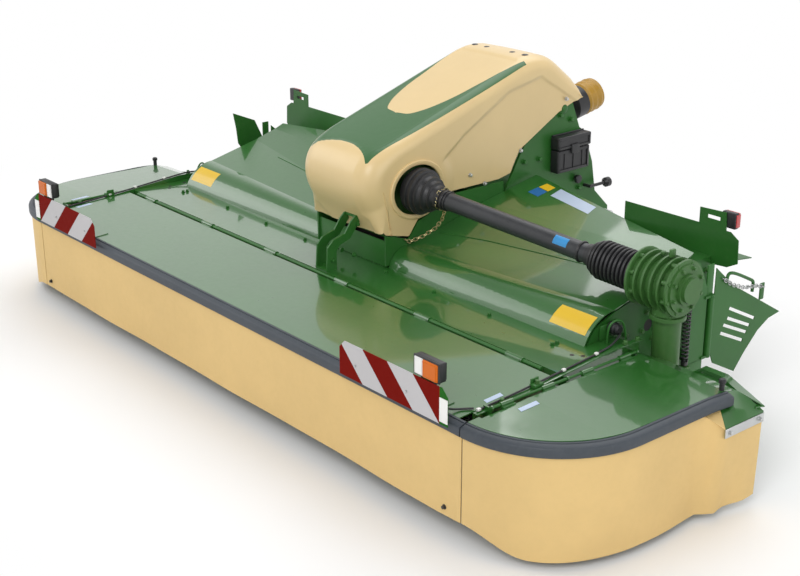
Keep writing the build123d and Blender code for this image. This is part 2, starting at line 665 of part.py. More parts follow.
def hinge_rail():
    """Fixed rail that carries a side guard's hinge rod, with the rod's lugs."""
    outer_x = ARM_INNER_X + ARM_WIDTH
    start_y = RAIL_TOP[0][0]
    end_y = RAIL_TOP[-1][0]
    low_edge = [(end_y, RAIL_LOW_Z), (start_y, RAIL_LOW_Z)]
    rail = slab_x(RAIL_TOP + low_edge, ARM_INNER_X, ARM_INNER_X + SHEET)
    under = [(y, z - SHEET) for y, z in RAIL_TOP]
    rail += slab_x(RAIL_TOP + under[::-1], ARM_INNER_X, outer_x)
    middle_y = (SIDE_HINGE_START_Y + SIDE_HINGE_END_Y) / 2
    for y in (SIDE_HINGE_START_Y, middle_y, SIDE_HINGE_END_Y):
        y0 = y - LUG_THICKNESS / 2
        y1 = y0 + LUG_THICKNESS
        rail += box(ARM_INNER_X, SIDE_HINGE_X, y0, y1, RAIL_LOW_Z + BARREL_LENGTH / 2, SIDE_HINGE_Z)
        rail += round_y(SIDE_BARREL_R, y0, y1, SIDE_HINGE_X, SIDE_HINGE_Z)
    rail -= round_y(SIDE_ROD_R + RUN, start_y, end_y, SIDE_HINGE_X, SIDE_HINGE_Z)
    for y in (DECK_START_Y + 40, DECK_EAR_END_Y - 80):
        rail += box(END_X + PLATE, ARM_INNER_X, y, y + PLATE, RAIL_LOW_Z, RIB_Z - SHEET)
    return rail


def hinge_rods():
    """Rods of the front guard's hinge and of both side guards' hinges."""
    reach = PANEL_HALF - BARREL_LENGTH
    start_y = SIDE_HINGE_START_Y - LUG_THICKNESS
    end_y = SIDE_HINGE_END_Y + LUG_THICKNESS
    side_rod = round_y(SIDE_ROD_R, start_y, end_y, SIDE_HINGE_X, SIDE_HINGE_Z)
    return Compound([round_x(HINGE_ROD_R, -reach, reach, RIB_Y, RIB_Z), side_rod, other_side(side_rod)])


def warning_boards():
    """Pair of boards on the front guard, with their upper corners cut."""
    inner_x = BOARD_OUTER_X - BOARD_LENGTH
    top_z = BOARD_LOW_Z + BOARD_HEIGHT
    points = [
        (inner_x, BOARD_LOW_Z), (inner_x, top_z - BOARD_CUT), (inner_x + BOARD_CUT, top_z),
        (BOARD_OUTER_X - BOARD_CUT, top_z), (BOARD_OUTER_X, top_z - BOARD_CUT), (BOARD_OUTER_X, BOARD_LOW_Z),
    ]
    outline = make_face(Plane.XZ * Polyline(*points, close=True))
    board = extrude(outline, BOARD_THICKNESS, dir=(0, 1, 0))
    return Compound([board, other_side(board)])


def front_lamps():
    """Front lamps above the outer ends of the boards."""
    lamps = []
    low = BOARD_LOW_Z + BOARD_HEIGHT
    for side in (-1, 1):
        outer = side * LAMP_OUTER_X
        inner = side * (LAMP_OUTER_X - LAMP_WIDTH)
        lamps.append(box(inner, outer, 0, LAMP_DEPTH, low, low + LAMP_HEIGHT))
    return Compound(lamps)


# Deck, hood and frame

def deck():
    """Fixed deck strip between the front guard and the hood, with the hinge lugs."""
    points = [
        (-DECK_HALF, DECK_START_Y), (DECK_HALF, DECK_START_Y), (DECK_HALF, DECK_EAR_END_Y),
        (HOOD_OUTER_X, DECK_EAR_END_Y), (HOOD_OUTER_X, DECK_END_Y), (-HOOD_OUTER_X, DECK_END_Y),
        (-HOOD_OUTER_X, DECK_EAR_END_Y), (-DECK_HALF, DECK_EAR_END_Y),
    ]
    plate = slab_z(points, RIB_Z - SHEET, RIB_Z)
    lip = box(-DECK_HALF, DECK_HALF, DECK_START_Y, DECK_START_Y + SHEET, RIB_Z - 8 * SHEET, RIB_Z)
    plate += lip
    for x in guard_hinge_places():
        for side in (-1, 1):
            x0 = x + side * (BARREL_LENGTH / 2 + 1)
            x1 = x0 + side * LUG_THICKNESS
            plate += box(x0, x1, RIB_Y, DECK_START_Y, RIB_Z - BARREL_R, RIB_Z)
            plate += round_x(BARREL_R, min(x0, x1), max(x0, x1), RIB_Y, RIB_Z)
    plate -= round_x(HINGE_ROD_R + RUN, -DECK_HALF, DECK_HALF, RIB_Y, RIB_Z)
    return plate


def hood_section(x, profile):
    """Section of the hood's sheet across X: a bend and three flats."""
    front, middle, *flats = profile
    bend = ThreePointArc((x, *front), (x, *middle), (x, *flats[0]))
    top = Polyline(*[(x, y, z) for y, z in flats])
    y, z = front
    lower = [(x, y + 2 * SHEET, z)]
    lower += [(x, y + SHEET, z - SHEET) for y, z in flats[:-1]]
    y, z = flats[-1]
    lower += [(x, y, z - SHEET)]
    under_middle = (x, middle[0] + 1.6 * SHEET, middle[1] - 0.8 * SHEET)
    under_bend = ThreePointArc(lower[0], under_middle, lower[1])
    under = Polyline(*lower[1:])
    ends = [Line(bend @ 0, under_bend @ 0), Line(top @ 1, under @ 1)]
    return make_face(Curve() + [bend, top, under_bend, under] + ends)


def hood():
    """One half of the sloping hood over the conditioner."""
    inner = hood_section(CARRIER_HALF + HOOD_SEAM, HOOD_INNER)
    outer = hood_section(HOOD_OUTER_X, HOOD_OUTER)
    return loft([inner, outer], ruled=True)


def end_plate():
    """Upright end plate that carries deck, hood, rollers and main beam."""
    top = [(y + 3 * SHEET, z - 3 * SHEET) for y, z in HOOD_OUTER[1:-1]]
    bar_top = BAR_LOW_Z + BAR_HEIGHT
    front_y = DECK_START_Y + 2 * SHEET
    side_z = RAIL_LOW_Z
    points = [(front_y, RIB_Z - SHEET), (DECK_END_Y + 1, RIB_Z - SHEET), (DECK_END_Y + 1, RIB_Z + SHEET)]
    points += top
    points += [
        (BEAM_START_Y, BEAM_TOP_Z - 3 * SHEET), (BEAM_START_Y, BEAM_TOP_Z), (BEAM_BACK_Y, BEAM_TOP_Z),
        (BEAM_BACK_Y, side_z), (BEAM_START_Y - 132, bar_top), (KNIFE_TIP_R + ROTOR_Y + 15, bar_top),
        (KNIFE_TIP_R + ROTOR_Y + 5, 180.0), (BAR_BACK_Y + 20, 250.0), (front_y, side_z),
    ]
    plate = slab_x(points, END_X, END_X + PLATE)
    for y, z in ((LOWER_ROLLER_Y, LOWER_ROLLER_Z), (UPPER_ROLLER_Y, UPPER_ROLLER_Z)):
        plate -= round_x(JOURNAL_R + RUN, END_X - 1, END_X + PLATE + 1, y, z)
    return plate


def main_beam():
    """Square tube across the back of the machine."""
    beam = box(-END_X, END_X, BEAM_START_Y, BEAM_BACK_Y, BEAM_LOW_Z, BEAM_TOP_Z)
    past = END_X + 1
    beam -= box(-past, past, BEAM_START_Y + BEAM_WALL, BEAM_BACK_Y - BEAM_WALL, BEAM_LOW_Z + BEAM_WALL,
                BEAM_TOP_Z - BEAM_WALL)
    ears = stand_bracket()
    return beam + ears + other_side(ears)


def rear_deflector():
    """Sheets that guide the crop down behind the main beam, one on each side of the headstock."""
    y0 = BEAM_BACK_Y
    y1 = y0 + DEFLECTOR_DEPTH
    z0 = (BEAM_LOW_Z + BEAM_TOP_Z) / 2
    z1 = z0 - DEFLECTOR_DROP
    points = [(y0, z0), (y1, z1), (y1, z1 - SHEET), (y0, z0 - SHEET)]
    sheet = slab_x(points, HEAD_OUTER_X + GAP, END_X - PLATE)
    return Compound([sheet, other_side(sheet)])


def carrier():
    """Saddle under the centre gearbox, from the main beam to its front edge over the deck."""
    top = [(y, z - 2 * GAP) for y, z in COWL_LOW[10:4:-1]]
    side_points = [(CARRIER_FRONT_Y, CARRIER_LOW_Z), (CARRIER_FRONT_Y, top[0][1])] + top[1:]
    side_points += [
        (CARRIER_BACK_Y, top[-1][1]), (CARRIER_BACK_Y, BEAM_TOP_Z), (BEAM_START_Y, BEAM_TOP_Z),
        (BEAM_START_Y, BEAM_LOW_Z), *CARRIER_ARCH, (DECK_END_Y + 60, CARRIER_LOW_Z),
    ]
    saddle = slab_x(side_points, CARRIER_HALF - PLATE, CARRIER_HALF)
    saddle += other_side(saddle)
    inner = CARRIER_HALF - PLATE + 1
    saddle += box(-inner, inner, PLATFORM_START_Y, BEAM_START_Y, PLATFORM_TOP_Z - PLATE, PLATFORM_TOP_Z)
    return saddle


def front_strut():
    """Cranked bracket from the deck to the underside of the cowl's nose."""
    x0 = STRUT_PLACES[0][0]
    x1 = STRUT_PLACES[-1][1]
    foot_y = STRUT_SIDE[0][0]
    foot_end_y = STRUT_SIDE[-1][0]
    strut = box(x0, x1, foot_y, foot_end_y, RIB_Z, RIB_Z + PLATE)
    for near, far in STRUT_PLACES:
        strut += slab_x(STRUT_SIDE, near, far)
    top_y0, top_z = STRUT_SIDE[5]
    top_y1 = STRUT_SIDE[6][0]
    strut += box(x0, x1, top_y0 + SHEET, top_y1 - SHEET, top_z - PLATE, top_z)
    return strut


# Cutterbar and rotors

def rotor_places():
    """X of each rotor axis."""
    return spread(ROTOR_COUNT, -ROTOR_REACH, ROTOR_REACH)


def cutterbar():
    """Flat housing with a scalloped front edge, a hub under each rotor and arms at the back."""
    top = BAR_LOW_Z + BAR_HEIGHT
    bar = box(-ROTOR_REACH, ROTOR_REACH, ROTOR_Y, BAR_BACK_Y, BAR_LOW_Z, top)
    for x in rotor_places():
        bar += round_z(BAR_SCALLOP_R, BAR_LOW_Z, top, x, ROTOR_Y)
        bar += round_z(HUB_R, top, top + HUB_HEIGHT - SEAT, x, ROTOR_Y)
    arm_end = BEAM_START_Y - 132
    for side in (-1, 1):
        bar += box(side * (END_X - 30), side * (END_X + PLATE + 30), BAR_BACK_Y, arm_end, top - 20, top)
    bar += box(COLUMN_X - 60, COLUMN_X + 60, ROTOR_Y, BAR_BACK_Y + BAR_FOOT, BAR_LOW_Z, top)
    return bar


def skid_shoes():
    """Curved skid under each rotor."""
    shoes = []
    profile = [
        (SKID_FRONT_Y, BAR_LOW_Z), (SKID_FRONT_Y + 20, BAR_LOW_Z / 3), (SKID_FRONT_Y + 70, 0),
        (SKID_BACK_Y, 0), (SKID_BACK_Y, SKID_THICKNESS), (SKID_FRONT_Y + 73, SKID_THICKNESS),
        (SKID_FRONT_Y + 26, BAR_LOW_Z / 2), (SKID_FRONT_Y + 14, BAR_LOW_Z),
    ]
    for x in rotor_places():
        shoe = slab_x(profile, x - SKID_WIDTH / 2, x + SKID_WIDTH / 2)
        for y in (ROTOR_Y + 20, BAR_BACK_Y - 20):
            shoe += box(x - SKID_WIDTH / 3, x + SKID_WIDTH / 3, y - 12, y + 12, SKID_THICKNESS, BAR_LOW_Z)
        shoes.append(shoe)
    return Compound(shoes)


def rotor(index):
    """Oval mowing disc with two knives; the end rotors carry a tall drum."""
    x = rotor_places()[index]
    low = BAR_LOW_Z + BAR_HEIGHT + HUB_HEIGHT
    disc = extrude(Ellipse(DISC_LONG_R, DISC_SHORT_R), DISC_THICKNESS)
    last = ROTOR_COUNT - 1
    if index in (0, last):
        disc += Pos(0, 0, DISC_THICKNESS + DRUM_HEIGHT / 2) * Cone(DRUM_LOW_R, DRUM_TOP_R, DRUM_HEIGHT)
    else:
        disc += Pos(0, 0, DISC_THICKNESS + DOME_HEIGHT / 2) * Cone(DOME_R, DOME_R / 2, DOME_HEIGHT)
    for side in (-1, 1):
        inner = DISC_LONG_R - KNIFE_WIDTH
        disc += box(side * inner, side * KNIFE_TIP_R, -KNIFE_WIDTH / 2, KNIFE_WIDTH / 2, -KNIFE_THICKNESS, 0)
    turn = 90.0 * (index % 2)
    return Pos(x, ROTOR_Y, low) * Rot(0, 0, turn) * disc


def roller(y, z):
    """Ribbed conditioner roller with its journals."""
    core = round_x(ROLLER_CORE_R, -ROLLER_HALF, ROLLER_HALF, y, z)
    rib = box(-ROLLER_HALF, ROLLER_HALF, -RIB_THICKNESS / 2, RIB_THICKNESS / 2, 0, ROLLER_TIP_R)
    for i in range(ROLLER_RIBS):
        core += Pos(0, y, z) * Rot(360.0 * i / ROLLER_RIBS, 0, 0) * rib
    reach = END_X + PLATE - 1
    core += round_x(JOURNAL_R, -reach, reach, y, z)
    return core


# Cross drive

def cross_piece(x0, x1, profile):
    """Revolve (share along, radius) points about the cross drive's axis between two places."""
    run = CROSS_END[0] - CROSS_START[0]
    start = line_point(CROSS_START, CROSS_END, (x0 - CROSS_START[0]) / run)
    finish = line_point(CROSS_START, CROSS_END, (x1 - CROSS_START[0]) / run)
    length = (Vector(*finish) - Vector(*start)).length
    return turned([(share * length, r) for share, r in profile], start, finish)


def guard_bell():
    """Ribbed bell of the cross shaft's guard at the centre gearbox."""
    first = BELL_PROFILE[0][0]
    profile = [(first, GUARD_TUBE_R)] + BELL_PROFILE + [(1.0, GUARD_TUBE_R)]
    bell = cross_piece(CENTRE_BOX_HALF, BELL_END_X, profile)
    return bell - box(0, CENTRE_BOX_HALF, 0, SHAFT_END_Y, 0, SHAFT_END_Z)


def guard_tube():
    """Plain tube of the cross shaft's guard."""
    inner = GUARD_TUBE_R - GUARD_TUBE_WALL
    wall = [(0.0, inner), (0.0, GUARD_TUBE_R), (1.0, GUARD_TUBE_R), (1.0, inner)]
    return cross_piece(BELL_END_X, BELLOWS_START_X, wall)


def bellows():
    """Folded bellows between the guard tube and the side gearbox."""
    valley_r = BELLOWS_R - BELLOWS_DEPTH
    points = [(0.0, GUARD_TUBE_R)]
    for i in range(BELLOWS_FOLDS):
        points += [((i + 0.06) / BELLOWS_FOLDS, valley_r), ((i + 0.5) / BELLOWS_FOLDS, BELLOWS_R)]
    points += [(1.05, valley_r), (1.05, GUARD_TUBE_R)]
    folded = cross_piece(BELLOWS_START_X, GEARBOX_START_X, points)
    return folded - box(GEARBOX_START_X, GEARBOX_END_X, 0, SHAFT_END_Y, 0, SHAFT_END_Z)


def side_gearbox():
    """Finned housing over the end of the cutterbar, with its stepped cover and its neck."""
    y = GEARBOX_Y
    z = GEARBOX_Z
    body = round_x(GEARBOX_CORE_R, GEARBOX_START_X, GEARBOX_END_X, y, z)
    for x in spread(GEARBOX_FINS, GEARBOX_START_X, GEARBOX_END_X - FIN_THICKNESS):
        body += round_x(GEARBOX_R, x, x + FIN_THICKNESS, y, z)
    for r, out in COVER_STEPS:
        body += round_x(r, GEARBOX_END_X, GEARBOX_END_X + out, y, z)
    body += round_z(COLUMN_R + COLUMN_NECK, COLUMN_TOP_Z, z, COLUMN_X, y)
    return body


def drive_column():
    """Upright drive housing between the side gearbox and the lower gearbox."""
    return round_z(COLUMN_R, COLUMN_LOW_Z, COLUMN_TOP_Z, COLUMN_X, GEARBOX_Y)


def lower_gearbox():
    """Lower drive housing, bolted to the end plate and to the end of the cutterbar."""
    half = LOWER_BOX_LENGTH / 2
    deep = LOWER_BOX_DEPTH / 2
    y0 = GEARBOX_Y - deep
    y1 = GEARBOX_Y + deep
    body = box(COLUMN_X - half, COLUMN_X + half, y0, y1, LOWER_BOX_LOW_Z, COLUMN_LOW_Z)
    body = fillet(body.edges().filter_by(Axis.Z), LOWER_BOX_ROUND)
    body += round_x(ROLLER_DRIVE_R, END_X + PLATE, COLUMN_X, LOWER_ROLLER_Y, LOWER_ROLLER_Z)
    body -= round_x(JOURNAL_R + 2, END_X, END_X + PLATE + 5, LOWER_ROLLER_Y, LOWER_ROLLER_Z)
    foot_top = BAR_LOW_Z + BAR_HEIGHT
    body += box(COLUMN_X - 40, COLUMN_X + 40, BAR_BACK_Y + BAR_FOOT, GEARBOX_Y, LOWER_BOX_LOW_Z, foot_top)
    tab_z = COLUMN_LOW_Z - SPRING_BRACKET
    body += box(SPRING_X - SPRING_R, SPRING_X + SPRING_R, GEARBOX_Y, SPRING_Y + SPRING_R, tab_z, COLUMN_LOW_Z)
    return body


def tension_spring():
    """Suspension spring between the post's bracket and the tab of the lower housing."""
    eye = 3 * SPRING_EYE_R
    points = [
        (COLUMN_LOW_Z, 0.0), (COLUMN_LOW_Z, SPRING_EYE_R), (COLUMN_LOW_Z + eye, SPRING_EYE_R),
        (COLUMN_LOW_Z + eye, SPRING_R), (SPRING_TOP_Z - eye, SPRING_R), (SPRING_TOP_Z - eye, SPRING_EYE_R),
        (SPRING_TOP_Z, SPRING_EYE_R), (SPRING_TOP_Z, 0.0),
    ]
    return turned(points, (SPRING_X, SPRING_Y, 0), (SPRING_X, SPRING_Y, SPRING_TOP_Z))


def centre_gearbox():
    """Angle gearbox under the cowl."""
    body = box(-CENTRE_BOX_HALF, CENTRE_BOX_HALF, CENTRE_BOX_FRONT_Y, SHAFT_LOW_Y, PLATFORM_TOP_Z,
               CENTRE_BOX_TOP_Z)
    return fillet(body.edges().filter_by(Axis.Y), CENTRE_BOX_ROUND)


# Input shaft

SHAFT_START = (0.0, SHAFT_LOW_Y, SHAFT_LOW_Z)
SHAFT_FINISH = (0.0, SHAFT_END_Y, SHAFT_END_Z)


def shaft_length():
    """Length of the input shaft along its slope."""
    return (Vector(*SHAFT_FINISH) - Vector(*SHAFT_START)).length


def input_guard():
    """Guard tube of the input shaft, widening to its collar at the tractor end."""
    end = shaft_length() - SHAFT_BELL_LENGTH - SHAFT_COLLAR_LENGTH
    inner = SHAFT_GUARD_R - SHAFT_GUARD_WALL
    neck = SHAFT_GUARD_NECK
    neck_r = SHAFT_GUARD_R + 20
    wall = [
        (-neck, neck_r - SHAFT_GUARD_WALL), (-neck, neck_r), (neck, neck_r), (2 * neck, SHAFT_GUARD_R),
        (end, SHAFT_GUARD_R), (end, inner), (2 * neck, inner), (neck, neck_r - SHAFT_GUARD_WALL),
    ]
    tube = turned(wall, SHAFT_START, SHAFT_FINISH)
    tube -= box(-CARRIER_HALF, CARRIER_HALF, 0, SHAFT_LOW_Y, 0, SHAFT_END_Z)
    mouth = end + SHAFT_COLLAR_LENGTH
    collar_inner = SHAFT_COLLAR_R - SHAFT_COLLAR_WALL
    collar = [
        (end, inner), (end, SHAFT_GUARD_R + 6), (end + 25, SHAFT_COLLAR_R), (mouth, SHAFT_COLLAR_R),
        (mouth, collar_inner), (end + 30, collar_inner), (end + 12, inner),
    ]
    return tube + turned(collar, SHAFT_START, SHAFT_FINISH)


def input_bell():
    """Ribbed bell at the end of the guard."""
    start = shaft_length() - SHAFT_BELL_LENGTH
    inner = SHAFT_COLLAR_R - SHAFT_COLLAR_WALL
    ribs = 3
    points = [(start, inner)]
    for i in range(ribs):
        along = start + SHAFT_BELL_LENGTH * (i + 0.4) / ribs
        points += [(along, SHAFT_BELL_R), (along + 16, SHAFT_BELL_R - 5)]
    points += [(start + SHAFT_BELL_LENGTH, SHAFT_RIM_R), (start + SHAFT_BELL_LENGTH, inner)]
    return turned(points, SHAFT_START, SHAFT_FINISH)


def input_yoke():
    """Turning shaft inside the guard, with its yoke and splined bore at the tractor end."""
    end = shaft_length()
    bore = end - SPLINE_BORE_DEPTH
    first = SHAFT_TUBE_R * tan(SHAFT_SLOPE) + SEAT
    points = [
        (first, 0.0), (first, SHAFT_TUBE_R), (end - YOKE_LENGTH, SHAFT_TUBE_R), (end - YOKE_LENGTH, YOKE_R),
        (end, YOKE_R), (end, SPLINE_BORE_R), (bore, SPLINE_BORE_R), (bore, 0.0),
    ]
    return turned(points, SHAFT_START, SHAFT_FINISH)


# Cowl and headstock

def cowl_side(inset):
    """Side view of the cowl; set in by a wall, it also reaches past the open lower edge."""
    drop = COWL_OPEN_DEPTH if inset else 0.0
    low = [(y, z - drop) for y, z in COWL_LOW[1:-1]]
    lines = [
        Line(COWL_NOSE_LOW, COWL_CHIN), ThreePointArc(COWL_CHIN, COWL_NOSE, COWL_FOREHEAD),
        Line(COWL_FOREHEAD, COWL_BROW), Line(COWL_BROW, COWL_CREST),
        ThreePointArc(COWL_CREST, COWL_TOP, COWL_REAR_EDGE), Line(COWL_REAR_EDGE, COWL_REAR),
        Line(COWL_REAR, COWL_REAR_LOW), Polyline(COWL_REAR_LOW, *low, COWL_NOSE_LOW),
    ]
    face = make_face(Curve() + lines)
    if inset:
        face = offset(face, -inset, kind=Kind.INTERSECTION)
    return face


def slope_bar(start, finish, inset):
    """Bar with rounded upper edges whose top runs through two (y, z) points, to round the cowl's ridges."""
    half = COWL_HALF - inset
    depth = 1500.0
    run = 3000.0
    section = Pos(0, -depth / 2) * Rectangle(2 * half, depth)
    section = fillet(section.vertices().group_by(Axis.Y)[-1], COWL_EDGE_ROUND - inset)
    slope = degrees(atan2(finish[1] - start[1], finish[0] - start[0]))
    bar = extrude(Plane.XZ * section, run, both=True)
    return Pos(0, start[0], start[1]) * Rot(slope, 0, 0) * Pos(0, 0, -inset) * bar


def cowl_form(inset):
    """Outer form of the cowl, or the form a wall inside it."""
    half = COWL_HALF - inset
    face = Plane.YZ * cowl_side(inset)
    form = extrude(face, half, dir=(1, 0, 0), both=True)
    nose_y = COWL_NOSE[0] + inset
    plan = Pos(0, nose_y + COWL_REAR[0]) * Rectangle(2 * half, 2 * COWL_REAR[0])
    plan = fillet(plan.vertices().group_by(Axis.Y)[0], COWL_NOSE_ROUND - inset)
    form &= extrude(plan, 2 * COWL_TOP[1])
    form &= slope_bar(COWL_BROW, COWL_CREST, inset)
    form &= slope_bar(COWL_REAR_EDGE, COWL_REAR, inset)
    low_z = COWL_CREASE[0][1] - COWL_REAR[1] / 2
    corners = COWL_CREASE + [(COWL_CREASE[-1][0], low_z), (COWL_CREASE[0][0], low_z)]
    crease = make_face(Polyline(*corners, close=True))
    if inset:
        crease = offset(crease, inset, kind=Kind.INTERSECTION)
    step = Pos(half - COWL_STEP, 0, 0) * extrude(Plane.YZ * crease, COWL_HALF, dir=(1, 0, 0))
    return form - step - other_side(step)


def cowl():
    """Moulded cowl over the centre gearbox and the input shaft, open underneath."""
    shell = cowl_form(0)
    ring = Ellipse(RING_OPENING[0] + RING_WIDTH, RING_OPENING[1] + RING_WIDTH)
    wall_x = COWL_HALF - COWL_WALL
    at_wall = Plane(origin=(wall_x, RING_Y, RING_Z), x_dir=(0, 1, 0), z_dir=(1, 0, 0))
    shell += extrude(at_wall * ring, COWL_WALL + RING_HEIGHT)
    shell -= cowl_form(COWL_WALL)
    inner = wall_x - COWL_STEP
    mouth_z = COWL_NOSE_LOW[1] + COWL_WALL
    shell -= box(-inner, inner, 0, CARRIER_FRONT_Y, 0, mouth_z)
    opening = Ellipse(*RING_OPENING)
    shell -= extrude(at_wall * opening, COWL_HALF, both=True)
    slot = TOP_EAR_GAP / 2 + TOP_EAR_THICKNESS + GAP
    shell -= box(-slot, slot, HEAD_TUBE_Y + HEAD_TUBE_R, TOP_LINK_Y, HEAD_TUBE_Z, COWL_SLOT_TOP_Z)
    return shell


def head_plate():
    """Side plate of the headstock."""
    plate = slab_x(HEAD_SIDE, HEAD_X, HEAD_OUTER_X)
    for y, z in ((HEAD_TUBE_Y, HEAD_TUBE_Z), (LOW_TUBE_Y, LOW_TUBE_Z)):
        plate -= round_x(HEAD_TUBE_R + SEAT, HEAD_X - 1, HEAD_OUTER_X + 1, y, z)
    plate -= round_x(LOWER_PIN_R + RUN, HEAD_X - 1, HEAD_OUTER_X + 1, LINK_Y, LOWER_LINK_Z)
    cowl_inside = COWL_HALF - COWL_STEP - COWL_WALL
    plate += round_x(COWL_BOSS_R, HEAD_OUTER_X, cowl_inside, COWL_BOSS_Y, COWL_BOSS_Z)
    return plate


def head_top_tube():
    """Upper cross tube with the two ears for the top link."""
    tube = round_x(HEAD_TUBE_R, -HEAD_OUTER_X, HEAD_OUTER_X, HEAD_TUBE_Y, HEAD_TUBE_Z)
    top_z = LOWER_LINK_Z + MAST_HEIGHT
    x0 = TOP_EAR_GAP / 2
    x1 = x0 + TOP_EAR_THICKNESS
    outline = [
        (HEAD_TUBE_Y, HEAD_TUBE_Z - HEAD_TUBE_R + SHEET), (HEAD_TUBE_Y, HEAD_TUBE_Z + HEAD_TUBE_R - SHEET),
        (TOP_LINK_Y, top_z + TOP_EAR_R), (TOP_LINK_Y, top_z - TOP_EAR_R),
    ]
    ear = slab_x(outline, x0, x1) + round_x(TOP_EAR_R, x0, x1, TOP_LINK_Y, top_z)
    ear -= round_x(TOP_HOLE_R, 0, x1 + 1, TOP_LINK_Y, top_z)
    return tube + ear + other_side(ear)


def head_low_tube():
    """Lower cross tube of the headstock."""
    return round_x(HEAD_TUBE_R, -HEAD_OUTER_X, HEAD_OUTER_X, LOW_TUBE_Y, LOW_TUBE_Z)


def lower_link_pins():
    """Pins for the tractor's lower links, each with the collar that the link's ball stands against."""
    pin = round_x(LOWER_PIN_R, HEAD_X - 20, LOWER_PIN_END_X, LINK_Y, LOWER_LINK_Z)
    collar_end = LINK_SPREAD / 2 - LINK_BALL_WIDTH / 2
    pin += round_x(LINK_COLLAR_R, HEAD_OUTER_X, collar_end, LINK_Y, LOWER_LINK_Z)
    return Compound([pin, other_side(pin)])


def document_box():
    """Black box for papers on the headstock."""
    x1 = HEAD_OUTER_X + BOX_DEPTH
    body = box(HEAD_OUTER_X, x1, BOX_Y, BOX_Y + BOX_LENGTH, BOX_Z, BOX_Z + BOX_HEIGHT)
    return fillet(body.edges().filter_by(Axis.X), BOX_ROUND)


def hand_lever():
    """Lever with a knob on the headstock."""
    x = HEAD_OUTER_X + LEVER_REACH
    end_y = LEVER_Y + LEVER_LENGTH
    rod = round_x(LEVER_R, HEAD_OUTER_X, x + LEVER_R, LEVER_Y, LEVER_Z)
    rod += round_y(LEVER_R, LEVER_Y, end_y, x, LEVER_Z)
    half = KNOB_R / 2
    knob = [(-KNOB_R, 0.0), (-KNOB_R, half), (-half, KNOB_R), (half, KNOB_R), (KNOB_R, half), (KNOB_R, 0.0)]
    return rod + turned(knob, (x, end_y, LEVER_Z), (x, end_y + KNOB_R, LEVER_Z))


# Parking stands, swath boards and rear lamps

def stand_bracket():
    """Pair of ears on the main beam for a parking stand's pin, with the pin."""
    inner = STAND_TUBE / 2 + 1
    reach = inner + LUG_THICKNESS
    ears = round_x(STAND_PIN_R, STAND_X - reach, STAND_X + reach, STAND_PIVOT_Y, STAND_PIVOT_Z)
    ears += slab_x(STAND_EAR, STAND_X - reach, STAND_X - inner)
    return ears + slab_x(STAND_EAR, STAND_X + inner, STAND_X + reach)


def parking_stand():
    """Folding leg with its foot, resting on the ground."""
    half = STAND_TUBE / 2
    low_z = STAND_PIVOT_Z - half
    top_z = STAND_PIVOT_Z + half
    points = [
        (STAND_PIVOT_Y - half, top_z), (STAND_PIVOT_Y + half, top_z), (STAND_PIVOT_Y + half, low_z),
        (STAND_FOOT_Y + half, FOOT_THICKNESS), (STAND_FOOT_Y - half, FOOT_THICKNESS),
        (STAND_PIVOT_Y - half, low_z),
    ]
    leg = slab_x(points, STAND_X - half, STAND_X + half)
    wide = FOOT_WIDTH / 2
    deep = FOOT_DEPTH / 2
    leg += box(STAND_X - wide, STAND_X + wide, STAND_FOOT_Y - deep, STAND_FOOT_Y + deep, 0, FOOT_THICKNESS)
    return leg - round_x(STAND_PIN_R + RUN, STAND_X - wide, STAND_X + wide, STAND_PIVOT_Y, STAND_PIVOT_Z)


def swath_post():
    """Post beside an end plate, with its ties, its lugs and the rod that a swath board turns on."""
    outer_x = SWATH_X + POST_THICKNESS / 2
    back_y = POST_SIDE[2][0]
    post = slab_x(POST_SIDE, SWATH_X - POST_THICKNESS / 2, outer_x)
    for z in POST_TIES_Z:
        post += box(END_X + PLATE, outer_x, back_y - TIE_DEPTH, back_y, z, z + PLATE)
        lug_start_y = back_y - SWATH_BARREL_R
        post += box(SWATH_X - SWATH_ROD_R, SWATH_X + SWATH_ROD_R, lug_start_y, SWATH_HINGE_Y, z, z + PLATE)
        post += round_z(SWATH_BARREL_R, z, z + PLATE, SWATH_X, SWATH_HINGE_Y)
    return post + round_z(SWATH_ROD_R, POST_TIES_Z[0], POST_TIES_Z[1], SWATH_X, SWATH_HINGE_Y)


def spring_bracket():
    """Bracket on the left post that the suspension spring hangs from."""
    y0 = SPRING_Y - SPRING_R
    y1 = SPRING_Y + SPRING_R
    return box(SWATH_X, SPRING_X + SPRING_R, y0, y1, SPRING_TOP_Z, SPRING_TOP_Z + SPRING_BRACKET)


def swath_board():
    """Slotted guide plate behind the conditioner, with the barrel it turns on."""
    x0 = SWATH_X - SHEET / 2
    x1 = SWATH_X + SHEET / 2
    board = slab_x(SWATH_SIDE, x0, x1)
    board += round_z(SWATH_BARREL_R, SWATH_SIDE[0][1], SWATH_SIDE[1][1], SWATH_X, SWATH_HINGE_Y)
    board -= round_z(SWATH_ROD_R + RUN, SWATH_SIDE[0][1] - 1, SWATH_SIDE[1][1] + 1, SWATH_X, SWATH_HINGE_Y)
    for y0, z0, y1, z1 in SWATH_SLOTS:
        board -= strip_x((y0, z0), (y1, z1), SLOT_WIDTH, x0 - 1, x1 + 1)
    return board


def lamp_plate():
    """Upright plate on the main beam that carries a rear lamp."""
    outline = make_face(Plane.XZ * Polyline(*LAMP_PLATE, close=True))
    plate = Pos(0, LAMP_PLATE_Y, 0) * extrude(outline, SHEET, dir=(0, 1, 0))
    x0, x1, z0, z1 = LAMP_SLOT
    return plate - box(x0, x1, LAMP_PLATE_Y - 1, LAMP_PLATE_Y + SHEET + 1, z0, z1)


